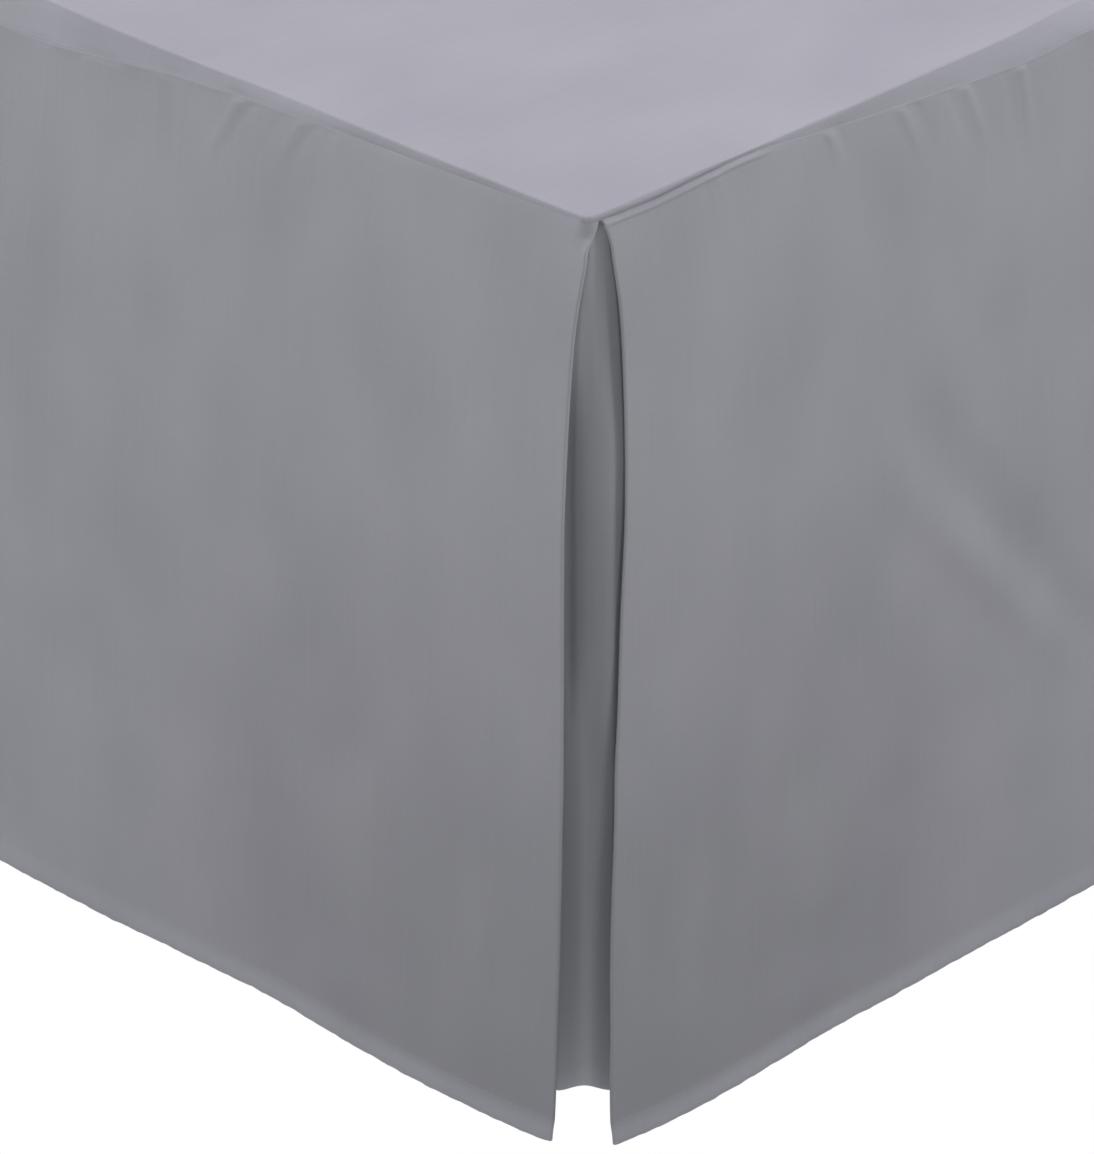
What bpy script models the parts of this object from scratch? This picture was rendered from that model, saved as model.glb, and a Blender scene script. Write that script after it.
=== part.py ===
"""Bed skirt with split corners, hung over a plain bed base on six legs.

Metres, +Z up. The origin is on the floor under the middle of the footprint. The foot of the bed
faces -Y, its head +Y. The skirt is sewn from a deck that lies on the base, three drops that hang
from the deck's edge, and an inset behind the opening at each foot corner. The head is left open.

Each foot corner is worked out in its own plan frame: the origin is where the face planes of the
two drops would cross, the foot runs along -X and the side along +Y. The left corner is mirrored.
A "place" is a distance along an edge from that origin, and a "depth" one below the deck.
"""

from collections import namedtuple
from math import acos, atan2, ceil, cos, pi, radians, sin, sqrt

import bmesh
import bpy
from mathutils import Vector

# The bed and the skirt's main sizes
BED_WIDTH = 1.524
BED_LENGTH = 2.032
BASE_HEIGHT = 0.220
BASE_CORNER = 0.020         # radius of the base's upright edges
BASE_EDGE = 0.006           # radius of its other edges
DROP = 0.381                # from the top of the deck to the hem
HEM_CLEARANCE = 0.004       # from the hem to the floor
CLOTH = 0.001               # thickness of every piece of cloth
GAP = 0.0003                # between pieces that rest on each other
SEAM_GAP = 0.0005           # between pieces that are sewn edge to edge
STAND_OFF = 0.007           # from the base's side to the face plane of a drop
FLARE = 0.0335              # how far the hem stands out from that plane
HEM_REACH = FLARE + 0.0030  # the same, with the hem's own folds and thickness

# The split corner
DECK_CORNER = 0.008         # plan radius of the deck's corner
SPLIT_TURN = 86.0           # degrees round that corner from the foot at which the drops part
SPLIT_HALF = 0.0004         # half of the space between the two drops there
UNROLL_DEPTH = 0.024        # depth at which a drop has left the rounded corner for its flat face
BLEND_LENGTH = 0.250        # length over which the fold line's lean fades out along a drop
FOLD_TOP = 0.0012           # radius of a drop's folded edge at the seam
FOLD_HEM = 0.0022           # and lower down
FOLD_OPENS = 0.100          # depth at which the fold has opened to that
RETURN_WIDTH = 0.085        # cloth turned back behind the folded edge
RETURN_LOWER = 0.002        # how far its upper edge lies below the front's
CURL = 0.0030               # how far the corner of the hem curls in
CURL_WIDTH = 0.035

# The inset
INSET_HALF_WIDTH = 0.078
INSET_TOP = 0.006           # depth of its upper edge
INSET_BEHIND = 0.0039       # how far it is behind the face planes at the top
INSET_AHEAD = 0.0008        # how far it is ahead of them at the hem
INSET_BEND = 0.0105         # half width of the hollow in which it crosses the corner
INSET_BACK = 0.0131         # distance from the corner to the bottom of that hollow
INSET_SETTLES = 0.150       # depth at which it has settled into the hollow

# The legs
LEG_TOP_RADIUS = 0.030
LEG_FOOT_RADIUS = 0.022
LEG_INSET = 0.110           # from the base's sides to the middle of a leg
LEG_SIDES = 16

Row = namedtuple("Row", "place value")
SHOULDER = (                # radius over which the cloth turns down, by place
    Row(0.000, 0.0030), Row(0.100, 0.0040), Row(0.200, 0.0062), Row(0.300, 0.0090),
)
SEAM = {                    # how far the seam lies below the deck, by place
    "foot": (Row(0.000, 0.0015), Row(0.045, 0.0022), Row(0.150, 0.0044), Row(0.210, 0.0062),
             Row(0.260, 0.0112), Row(0.305, 0.0152), Row(0.370, 0.0120)),
    "side": (Row(0.000, 0.0015), Row(0.080, 0.0013), Row(0.135, 0.0040), Row(0.225, 0.0067),
             Row(0.280, 0.0090), Row(0.370, 0.0120)),
}
FOLD_LINE = {               # place at which a drop's front meets its folded edge, by depth
    "foot": (Row(0.000, 0.0005), Row(0.030, 0.0056), Row(0.075, 0.0085), Row(0.130, 0.0077),
             Row(0.200, 0.0028), Row(0.280, -0.0020), Row(DROP, -0.0050)),
    "side": (Row(0.000, 0.0122), Row(0.020, 0.0162), Row(0.040, 0.0184), Row(0.080, 0.0190),
             Row(0.135, 0.0155), Row(0.200, 0.0070), Row(0.280, -0.0024), Row(DROP, -0.0092)),
}

# A soft fold in a drop: its place at the deck and at the hem, its half width, how far it stands
# out (or in, below 0), and the depths at which it starts, is full and has died out
Fold = namedtuple("Fold", "top hem width height start full end")
CORNER_FOLDS = {
    "foot": (
        Fold(0.060, 0.062, 0.050, 0.0014, 0.120, 0.360, 0.900),
        Fold(0.086, 0.052, 0.016, -0.0012, 0.215, 0.310, 0.400),
        Fold(0.120, 0.152, 0.055, -0.0030, 0.160, 0.380, 0.900),
        Fold(0.215, 0.205, 0.045, -0.0016, 0.200, 0.380, 0.900),
        Fold(0.338, 0.342, 0.036, 0.0045, 0.012, 0.110, 0.330),
    ),
    "side": (
        Fold(0.060, 0.060, 0.050, 0.0014, 0.120, 0.360, 0.900),
        Fold(0.086, 0.050, 0.016, -0.0012, 0.215, 0.310, 0.400),
        Fold(0.118, 0.128, 0.036, -0.0009, 0.220, 0.380, 0.900),
        Fold(0.290, 0.295, 0.110, 0.0012, 0.100, 0.380, 0.900),
        Fold(0.078, 0.350, 0.028, -0.0024, 0.080, 0.190, 0.330),
        Fold(0.016, 0.362, 0.024, 0.0018, 0.120, 0.220, 0.320),
    ),
}

# Shallow uneven flutes along the rest of a drop
FLUTES_FROM = 0.440
FLUTE_PITCH = 0.185
FLUTE_HEIGHT = 0.0036
FLUTE_START = 0.015
FLUTE_FULL = 0.330

# Where the mesh of a sheet has its columns (distances from the folded edge, or from the middle
# of the inset) and its rows (distances down the cloth from its upper edge; the last is the hem)
NEAR_STEPS = (0.0, 0.0025, 0.005, 0.0075, 0.010, 0.014, 0.020, 0.028, 0.038, 0.050, 0.062, 0.075,
              0.090, 0.110, 0.135, 0.160, 0.190, 0.220, 0.255, 0.290, 0.315, 0.340, 0.370)
DROP_PITCH = 0.075
DECK_PITCH = 0.260
TURN_STEPS = 6
RETURN_STEPS = (RETURN_WIDTH, 0.035, 0.015, 0.010, 0.0065, 0.003)
DROP_ROWS = (0.0, 0.0014, 0.004, 0.010, 0.022, 0.045, 0.085, 0.140, 0.205, 0.270, 0.330, None)
SHOULDER_STEPS = 3
INSET_STEPS = (0.0, 0.0035, 0.007, 0.0095, 0.0115, 0.0145, 0.020, 0.034, INSET_HALF_WIDTH)
INSET_ROWS = (0.0, 0.010, 0.025, 0.050, 0.090, 0.140, 0.200, 0.270, None)

# Places worked out from the sizes
DECK_MIDDLE = HEM_CLEARANCE + DROP - CLOTH / 2
BASE_TOP = DECK_MIDDLE - CLOTH / 2 - GAP
BASE_BOTTOM = BASE_TOP - BASE_HEIGHT
HEM_DEPTH = DECK_MIDDLE - HEM_CLEARANCE
FACE_X = BED_WIDTH / 2 + STAND_OFF
HEAD_Y = (BED_LENGTH + STAND_OFF + HEM_REACH) / 2
FACE_Y = HEAD_Y - BED_LENGTH - STAND_OFF
FOOT_LENGTH = 2 * FACE_X
SIDE_LENGTH = HEAD_Y - FACE_Y
LEAN = atan2(FLARE, DROP)
CORNER_ARC = DECK_CORNER * pi / 2
SPLIT = DECK_CORNER * radians(SPLIT_TURN) - CORNER_ARC / 2
FRONT_START = SPLIT_HALF + FOLD_TOP + CLOTH / 2     # from the split to the front of a drop
FOLD_START = {              # place of that front's end, as if the corner were not rounded
    "foot": FRONT_START + DECK_CORNER - CORNER_ARC / 2 - SPLIT,
    "side": FRONT_START + DECK_CORNER - CORNER_ARC / 2 + SPLIT,
}


def smooth(x):
    """Soft step from 0 to 1."""
    x = min(max(x, 0.0), 1.0)
    return x * x * (3 - 2 * x)


def ridge(x):
    """Soft ridge, 1 high at 0 and gone at -1 and 1."""
    return (1 + cos(pi * x)) / 2 if abs(x) < 1 else 0.0


def read(table, place):
    """Value of a table at a place: a smooth curve through its rows, level beyond them."""
    rows = (table[0], *table, table[-1])
    for before, low, high, after in zip(rows, rows[1:], rows[2:], rows[3:]):
        if low.place <= place < high.place:
            span = high.place - low.place
            x = (place - low.place) / span
            rise_in = 0.0 if before is low else (high.value - before.value) * span / (
                high.place - before.place)
            rise_out = 0.0 if after is high else (after.value - low.value) * span / (
                after.place - low.place)
            level = low.value + (high.value - low.value) * smooth(x)
            return level + x * (1 - x) * ((1 - x) * rise_in - x * rise_out)
    return table[0].value if place < table[0].place else table[-1].value


def outline(w):
    """Plan point and outward direction on the deck's outline, w along it from mid corner."""
    turn = min(max((w + CORNER_ARC / 2) / DECK_CORNER, 0.0), pi / 2)
    straight = w + CORNER_ARC / 2 - DECK_CORNER * turn
    out = Vector((sin(turn), -cos(turn)))
    middle = Vector((-DECK_CORNER, DECK_CORNER))
    return middle + DECK_CORNER * out + straight * Vector((cos(turn), sin(turn))), out


def to_world(side, point, depth):
    """World point from the plan frame of the right (1) or left (-1) corner."""
    return Vector((side * (FACE_X + point.x), FACE_Y + point.y, DECK_MIDDLE - depth))


def over_edge(radius, cloth):
    """How far out of the face plane, and how deep, a length of cloth reaches over the edge.

    It starts on the flat deck, turns over the shoulder and then hangs straight, leaning out.
    """
    turn = min(cloth / radius, pi / 2 - LEAN)
    rest = cloth - radius * turn
    return (radius * (sin(turn) - 1) + rest * sin(LEAN),
            radius * (1 - cos(turn)) + rest * cos(LEAN))


def cloth_to_seam(panel, place):
    """Length of cloth from the flat deck to the seam."""
    radius = read(SHOULDER, place)
    seam = read(SEAM[panel], place)
    if seam < radius:
        return radius * acos(1 - seam / radius)
    return radius * pi / 2 + seam - radius


def cloth_to_hem(place):
    """Length of cloth from the flat deck to the hem."""
    radius = read(SHOULDER, place)
    turned = pi / 2 - LEAN
    return radius * turned + (HEM_DEPTH - radius * (1 - cos(turned))) / cos(LEAN)


def flutes(length, phase):
    """The shallow flutes of a drop of some length."""
    for i in range(int((length - FLUTES_FROM) / FLUTE_PITCH)):
        place = FLUTES_FROM + FLUTE_PITCH * (i + 0.22 * sin(2.3 * i + phase))
        height = FLUTE_HEIGHT * (0.75 + 0.35 * sin(1.7 * i + 2 * phase))
        drift = 0.020 * sin(1.1 * i + phase)
        yield Fold(place, place + drift, 0.42 * FLUTE_PITCH, height, FLUTE_START, FLUTE_FULL, 0.9)


def folds_out(folds, place, depth):
    """How far the soft folds push the cloth out of its face."""
    out = 0.0
    for fold in folds:
        middle = fold.top + (fold.hem - fold.top) * depth / DROP
        grown = smooth((depth - fold.start) / (fold.full - fold.start))
        left = 1 - smooth((depth - fold.full) / (fold.end - fold.full))
        out += fold.height * ridge((place - middle) / fold.width) * grown * left
    return out


# A column of a drop: the corner it is measured from, its panel, its distance from the folded edge,
# its place among the folds, and how far it has turned round that edge (0 front, pi turned back)
Column = namedtuple("Column", "side panel u fold_place turn")


def drop_point(column, folds, row_cloth):
    """World point of a drop's cloth in one column, some length down it from its upper edge."""
    panel, u = column.panel, column.u
    place = u + FOLD_START[panel]
    lowered = RETURN_LOWER * sin(column.turn / 2)
    start = cloth_to_seam(panel, place) + SEAM_GAP + lowered
    hem = cloth_to_hem(place)
    cloth = hem if row_cloth is None else start + row_cloth * (hem - start) / DROP
    out, depth = over_edge(read(SHOULDER, place), cloth)
    out += folds_out(folds, column.fold_place, depth)
    out -= CURL * max(1 - u / CURL_WIDTH, 0.0) ** 2 * depth / DROP

    # On the rounded corner at the top, and in one flat face with a leaning end below
    along = 1 if panel == "side" else -1
    rolled, rolled_out = outline(SPLIT + along * (FRONT_START + u))
    fold_line = read(FOLD_LINE[panel], depth)
    fade = smooth(u / BLEND_LENGTH)
    flat_place = u + fold_line + (FOLD_START[panel] - fold_line) * fade
    flat = Vector((0.0, flat_place)) if panel == "side" else Vector((-flat_place, 0.0))
    flat_out = Vector((1.0, 0.0)) if panel == "side" else Vector((0.0, -1.0))
    unrolled = smooth(depth / UNROLL_DEPTH)
    outward = rolled_out.lerp(flat_out, unrolled).normalized()
    point = rolled.lerp(flat, unrolled) + outward * out

    # Round the folded edge
    radius = FOLD_TOP + (FOLD_HEM - FOLD_TOP) * smooth(depth / FOLD_OPENS)
    past_edge = -along * Vector((-outward.y, outward.x))
    point += radius * ((cos(column.turn) - 1) * outward + sin(column.turn) * past_edge)
    return to_world(column.side, point, depth)


def inset_point(w, row_cloth):
    """Corner-frame point of the inset: round the corner at its top, in a hollow lower down."""
    depth = HEM_DEPTH if row_cloth is None else INSET_TOP + row_cloth
    rounded, out = outline(w)
    rounded -= INSET_BEHIND * out
    reach = abs(w)
    bend = Vector((INSET_AHEAD - INSET_BEND * sqrt(2), -INSET_AHEAD))
    if reach > INSET_BEND:
        hollow = bend + Vector((INSET_BEND - reach, 0.0))
    else:
        bend_back = (bend.y - bend.x) / sqrt(2)
        back = INSET_BACK + (bend_back - INSET_BACK) * smooth(reach / INSET_BEND)
        hollow = Vector((-reach - back, back - reach)) / sqrt(2)
    if w > 0:
        hollow = Vector((-hollow.y, -hollow.x))
    return rounded.lerp(hollow, smooth(depth / INSET_SETTLES)), depth


def colour(name, red, green, blue, roughness):
    """A plain material."""
    material = bpy.data.materials.new(name)
    material.use_nodes = True
    shader = material.node_tree.nodes["Principled BSDF"]
    shader.inputs["Base Color"].default_value = (red, green, blue, 1.0)
    shader.inputs["Roughness"].default_value = roughness
    shader.inputs["Metallic"].default_value = 0.0
    return material


def add_part(name, mesh, material):
    mesh.materials.append(material)
    thing = bpy.data.objects.new(name, mesh)
    parts.objects.link(thing)
    return thing


def give_thickness(thing):
    wall = thing.modifiers.new("Cloth", "SOLIDIFY")
    wall.thickness = CLOTH
    wall.offset = 0.0


def cloth_grid(columns, rows, point_at):
    """A mesh grid whose points are placed by point_at(column number, row number)."""
    bm = bmesh.new()
    bmesh.ops.create_grid(bm, x_segments=columns - 1, y_segments=rows - 1, size=0.5)
    for vertex in bm.verts:
        column = round((vertex.co.x + 0.5) * (columns - 1))
        row = round((vertex.co.y + 0.5) * (rows - 1))
        vertex.co = point_at(column, row)
    return bm


def add_sheet(name, bm):
    mesh = bpy.data.meshes.new(name)
    bm.to_mesh(mesh)
    bm.free()
    give_thickness(add_part(name, mesh, skirt_cloth))


def steps_to(length, pitch):
    """Distances of columns from a folded edge: close near it, then even up to a length."""
    rest = length - NEAR_STEPS[-1]
    count = ceil(rest / pitch)
    return NEAR_STEPS + tuple(NEAR_STEPS[-1] + rest * (i + 1) / count for i in range(count))


def panel_columns(side, panel, length, fold_place):
    """Columns of a panel: the turned-back layer, round the folded edge, and along the front."""
    columns = [Column(side, panel, u, fold_place(u), pi) for u in RETURN_STEPS]
    columns += [Column(side, panel, 0.0, fold_place(0.0), pi * (1 - i / TURN_STEPS))
                for i in range(TURN_STEPS)]
    return columns + [Column(side, panel, u, fold_place(u), 0.0)
                      for u in steps_to(length, DROP_PITCH)]


def build_drop(name, columns, folds):
    def point_at(column, row):
        return drop_point(columns[column], folds, DROP_ROWS[row])
    add_sheet(name, cloth_grid(len(columns), len(DROP_ROWS), point_at))


def build_foot_drop():
    """The drop across the foot, folded back at both corners."""
    half = FOOT_LENGTH / 2 - FOLD_START["foot"]
    from_right = panel_columns(1, "foot", half, lambda u: u + FOLD_START["foot"])
    from_left = panel_columns(-1, "foot", half, lambda u: FOOT_LENGTH - u - FOLD_START["foot"])
    folds = CORNER_FOLDS["foot"] + tuple(flutes(FOOT_LENGTH, 0.4))
    build_drop("drop_foot", from_right + from_left[-2::-1], folds)


def build_side_drop(name, side, folds):
    """A drop along one side, folded back at the foot corner and plain at the head."""
    length = SIDE_LENGTH - FOLD_START["side"]
    columns = panel_columns(side, "side", length, lambda u: u + FOLD_START["side"])
    build_drop(name, columns, folds)


def build_inset(name, side):
    widths = [-w for w in INSET_STEPS[:0:-1]] + list(INSET_STEPS)

    def point_at(column, row):
        return to_world(side, *inset_point(widths[column], INSET_ROWS[row]))
    add_sheet(name, cloth_grid(len(widths), len(INSET_ROWS), point_at))


def build_deck():
    """The deck: a strip turned down round three edges, filled with the flat of the deck."""
    side_steps = steps_to(SIDE_LENGTH - FOLD_START["side"], DECK_PITCH)
    foot_steps = steps_to(FOOT_LENGTH / 2 - FOLD_START["foot"], DECK_PITCH)
    right = [("side", u) for u in reversed(side_steps)] + [("foot", u) for u in foot_steps]
    path = [(1, panel, u) for panel, u in right]
    path += [(-1, panel, u) for panel, u in right[-2::-1]]

    def point_at(column, row):
        side, panel, u = path[column]
        place = u + FOLD_START[panel]
        cloth = cloth_to_seam(panel, place) * row / SHOULDER_STEPS
        out, depth = over_edge(read(SHOULDER, place), cloth)
        along = 1 if panel == "side" else -1
        point, outward = outline(SPLIT + along * (FRONT_START + u))
        return to_world(side, point + outward * out, depth)

    bm = cloth_grid(len(path), SHOULDER_STEPS + 1, point_at)
    flat = [v for v in bm.verts if abs(v.co.z - DECK_MIDDLE) < GAP / 10]
    rim = [e for e in bm.edges if e.verts[0] in flat and e.verts[1] in flat]
    head = [v for v in flat if v.co.y > HEAD_Y - GAP]
    rim += bmesh.ops.contextual_create(bm, geom=head)["edges"]
    bmesh.ops.contextual_create(bm, geom=rim)
    bmesh.ops.recalc_face_normals(bm, faces=bm.faces)
    add_sheet("deck", bm)


def bevelled(bm, edges, radius, segments):
    bmesh.ops.bevel(bm, geom=edges, offset=radius, segments=segments, profile=0.5,
                    affect="EDGES", clamp_overlap=True)


def build_base():
    """The bed base: a box with rounded edges."""
    bm = bmesh.new()
    bmesh.ops.create_cube(bm, size=1.0)
    middle = Vector((0.0, HEAD_Y - BED_LENGTH / 2, BASE_TOP - BASE_HEIGHT / 2))
    for vertex in bm.verts:
        vertex.co = middle + vertex.co * Vector((BED_WIDTH, BED_LENGTH, BASE_HEIGHT))
    upright = [e for e in bm.edges if abs(e.verts[0].co.z - e.verts[1].co.z) > BASE_HEIGHT / 2]
    bevelled(bm, upright, BASE_CORNER, 4)
    rims = [e for e in bm.edges if abs(e.verts[0].co.z - e.verts[1].co.z) < GAP]
    bevelled(bm, rims, BASE_EDGE, 3)
    mesh = bpy.data.meshes.new("bed_base")
    bm.to_mesh(mesh)
    bm.free()
    add_part("bed_base", mesh, base_cover)


def build_leg(name, x, y):
    """A round tapered leg, standing on the floor."""
    bm = bmesh.new()
    height = BASE_BOTTOM - GAP
    bmesh.ops.create_cone(bm, cap_ends=True, segments=LEG_SIDES, radius1=LEG_FOOT_RADIUS,
                          radius2=LEG_TOP_RADIUS, depth=height)
    mesh = bpy.data.meshes.new(name)
    bm.to_mesh(mesh)
    bm.free()
    leg = add_part(name, mesh, leg_wood)
    leg.location = (x, y, height / 2)


for old in list(bpy.data.objects):
    bpy.data.objects.remove(old, do_unlink=True)

parts = bpy.data.collections.new("bed_skirt")
bpy.context.scene.collection.children.link(parts)

skirt_cloth = colour("skirt_cloth", 0.33, 0.33, 0.38, 0.90)
base_cover = colour("base_cover", 0.62, 0.60, 0.56, 0.90)
leg_wood = colour("leg_wood", 0.16, 0.10, 0.06, 0.45)

build_deck()
build_foot_drop()
build_side_drop("drop_right", 1, CORNER_FOLDS["side"] + tuple(flutes(SIDE_LENGTH, 1.3)))
build_side_drop("drop_left", -1, tuple(flutes(SIDE_LENGTH, 2.6)))
build_inset("inset_right", 1)
build_inset("inset_left", -1)
build_base()

leg_x = BED_WIDTH / 2 - LEG_INSET
leg_rows = (("foot", HEAD_Y - BED_LENGTH + LEG_INSET), ("middle", HEAD_Y - BED_LENGTH / 2),
            ("head", HEAD_Y - LEG_INSET))
for row_name, leg_y in leg_rows:
    for side_name, side in (("left", -1), ("right", 1)):
        build_leg(f"leg_{row_name}_{side_name}", side * leg_x, leg_y)
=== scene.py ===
from collections import namedtuple
from math import atan2, cos, pi, radians, sin

import bmesh
import bpy
import numpy as np
from mathutils import Matrix, Vector


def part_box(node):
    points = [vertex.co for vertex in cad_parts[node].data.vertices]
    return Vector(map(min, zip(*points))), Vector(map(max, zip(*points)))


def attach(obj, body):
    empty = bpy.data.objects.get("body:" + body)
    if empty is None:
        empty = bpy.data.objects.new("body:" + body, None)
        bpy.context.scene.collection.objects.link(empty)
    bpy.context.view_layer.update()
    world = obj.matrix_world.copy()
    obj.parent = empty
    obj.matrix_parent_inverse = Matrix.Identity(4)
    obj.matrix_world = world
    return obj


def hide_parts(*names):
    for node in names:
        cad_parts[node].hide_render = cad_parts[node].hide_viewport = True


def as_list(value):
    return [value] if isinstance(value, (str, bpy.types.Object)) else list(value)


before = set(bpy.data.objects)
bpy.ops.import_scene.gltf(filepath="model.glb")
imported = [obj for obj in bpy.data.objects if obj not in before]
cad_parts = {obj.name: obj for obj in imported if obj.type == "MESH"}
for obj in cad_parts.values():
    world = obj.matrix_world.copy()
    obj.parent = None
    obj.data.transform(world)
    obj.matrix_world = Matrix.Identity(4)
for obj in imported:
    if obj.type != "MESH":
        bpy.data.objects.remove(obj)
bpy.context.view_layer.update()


# ---- Bed base ----------------------------------------------------------------------------------
# A timber box under a close woven cover, pulled tight over rounded edges. A seam runs round it
# a little below the top, where the top panel of the cover is joined to its border.

base_low, base_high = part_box("bed_base")
BASE_CORNER = 0.020         # radius of the upright edges
BASE_EDGE = 0.006           # radius of the others
BORDER_SEAM = 0.028         # from the top to the seam
SEAM_NARROW = 0.0016        # width of the groove that the seam pulls in
SEAM_PULL = 0.0009
COVER_DARK = (0.300, 0.285, 0.262, 1.0)
COVER_LIGHT = (0.400, 0.384, 0.356, 1.0)
COVER_THREAD = 0.0011       # from thread to thread


def deselect():
    bpy.ops.object.select_all(action="DESELECT")


def pick(piece, edges=None, points=None):
    """In edit mode, select the edges or the points that pass a test on their places."""
    bm = bmesh.from_edit_mesh(piece.data)
    for part in (*bm.verts, *bm.edges, *bm.faces):
        part.select_set(False)
    if edges:
        for edge in bm.edges:
            if edges(edge.verts[0].co, edge.verts[1].co):
                edge.select_set(True)
    if points:
        for point in bm.verts:
            if points(point.co):
                point.select_set(True)
        bm.select_flush(True)
    bmesh.update_edit_mesh(piece.data)


def link(tree, start, end):
    tree.links.new(start, end)


def node(tree, kind, **settings):
    made = tree.nodes.new(kind)
    for name, value in settings.items():
        setattr(made, name, value)
    return made


def sum_of(tree, operation, first, second):
    """A Math node on two sockets or numbers."""
    made = node(tree, "ShaderNodeMath", operation=operation)
    for socket, value in zip(made.inputs, (first, second)):
        if isinstance(value, (int, float)):
            socket.default_value = value
        elif value is not None:
            link(tree, value, socket)
    return made.outputs[0]


def add_object(name, data):
    """A new object in the scene."""
    made = bpy.data.objects.new(name, data)
    bpy.context.scene.collection.objects.link(made)
    return made


def new_material(name):
    """A new material, its nodes and its shader."""
    material = bpy.data.materials.new(name)
    material.use_nodes = True
    return material, material.node_tree, material.node_tree.nodes["Principled BSDF"]


def noise_over(tree, place, scale, detail):
    """A noise texture over a place."""
    made = node(tree, "ShaderNodeTexNoise")
    made.inputs["Scale"].default_value = scale
    made.inputs["Detail"].default_value = detail
    link(tree, place, made.inputs["Vector"])
    return made


def colours_over(tree, share, *ends):
    """A colour for a share, between two ends of (position, colour)."""
    ramp = node(tree, "ShaderNodeValToRGB")
    for element, (position, colour) in zip(ramp.color_ramp.elements, ends):
        element.position = position
        element.color = colour
    link(tree, share, ramp.inputs["Fac"])
    return ramp.outputs["Color"]


def roughen(tree, shader, height, low, high):
    """Roughness from low to high as a texture goes from 0 to 1."""
    rough = node(tree, "ShaderNodeMapRange")
    rough.inputs["To Min"].default_value = low
    rough.inputs["To Max"].default_value = high
    link(tree, height, rough.inputs["Value"])
    link(tree, rough.outputs["Result"], shader.inputs["Roughness"])


def raise_relief(tree, shader, *heights):
    """Bumps of (texture, depth), each on the one before it."""
    normal = None
    for height, depth in heights:
        bump = node(tree, "ShaderNodeBump")
        bump.inputs["Distance"].default_value = depth
        link(tree, height, bump.inputs["Height"])
        if normal:
            link(tree, normal, bump.inputs["Normal"])
        normal = bump.outputs["Normal"]
    link(tree, normal, shader.inputs["Normal"])


def new_group(name, inputs, outputs):
    """A shader node group with named sockets: (name, type, value) in and (name, type) out."""
    group = bpy.data.node_groups.new(name, "ShaderNodeTree")
    for label, kind, value in inputs:
        socket = group.interface.new_socket(label, in_out="INPUT", socket_type=kind)
        if value is not None:
            socket.default_value = value
    for label, kind in outputs:
        group.interface.new_socket(label, in_out="OUTPUT", socket_type=kind)
    return group, node(group, "NodeGroupInput").outputs, node(group, "NodeGroupOutput").inputs


def build_weave():
    """Plain weave on a flat layout in metres: the height of the threads, and which is on top."""
    tree, given, result = new_group(
        "plain_weave",
        (("Layout", "NodeSocketVector", None), ("Thread", "NodeSocketFloat", 0.0003)),
        (("Height", "NodeSocketFloat"), ("Warp", "NodeSocketFloat")))
    split = node(tree, "ShaderNodeSeparateXYZ")
    link(tree, given["Layout"], split.inputs[0])
    waves = []
    for axis in ("X", "Y"):
        counted = sum_of(tree, "DIVIDE", split.outputs[axis], given["Thread"])
        waves.append(sum_of(tree, "SINE", sum_of(tree, "MULTIPLY", counted, pi), None))
    crossing = sum_of(tree, "MULTIPLY", *waves)
    warp = sum_of(tree, "GREATER_THAN", crossing, 0.0)
    across, down = (sum_of(tree, "ABSOLUTE", wave, None) for wave in waves)
    flatter = 0.45
    over = sum_of(tree, "MULTIPLY", across, sum_of(tree, "POWER", down, flatter))
    under = sum_of(tree, "MULTIPLY", down, sum_of(tree, "POWER", across, flatter))
    mixed = node(tree, "ShaderNodeMix", data_type="FLOAT")
    link(tree, warp, mixed.inputs["Factor"])
    link(tree, under, mixed.inputs["A"])
    link(tree, over, mixed.inputs["B"])
    link(tree, mixed.outputs["Result"], result["Height"])
    link(tree, warp, result["Warp"])
    return tree


def build_slubs():
    """Uneven threads: streaks down the cloth, fainter ones across it, and soft crinkles."""
    tree, given, result = new_group(
        "uneven_threads",
        (("Layout", "NodeSocketVector", None), ("Fineness", "NodeSocketFloat", 1.0)),
        (("Streaks", "NodeSocketFloat"), ("Crinkle", "NodeSocketFloat"),
         ("Clouds", "NodeSocketFloat")))
    scaled = node(tree, "ShaderNodeVectorMath", operation="SCALE")
    link(tree, given["Layout"], scaled.inputs[0])
    link(tree, given["Fineness"], scaled.inputs["Scale"])

    def noise(stretch, detail):
        spread = node(tree, "ShaderNodeMapping")
        spread.inputs["Scale"].default_value = stretch
        link(tree, scaled.outputs[0], spread.inputs["Vector"])
        return noise_over(tree, spread.outputs[0], 1.0, detail).outputs["Fac"]

    down = noise((720.0, 17.0, 1.0), 1.0)
    across = noise((14.0, 620.0, 1.0), 1.0)
    across_share = 0.55
    both = sum_of(tree, "ADD", down, sum_of(tree, "MULTIPLY", across, across_share))
    link(tree, sum_of(tree, "DIVIDE", both, 1 + across_share), result["Streaks"])
    link(tree, noise((70.0, 34.0, 1.0), 1.5), result["Crinkle"])
    link(tree, noise((19.0, 13.0, 1.0), 1.0), result["Clouds"])
    return tree


plain_weave = build_weave()
uneven_threads = build_slubs()


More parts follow.
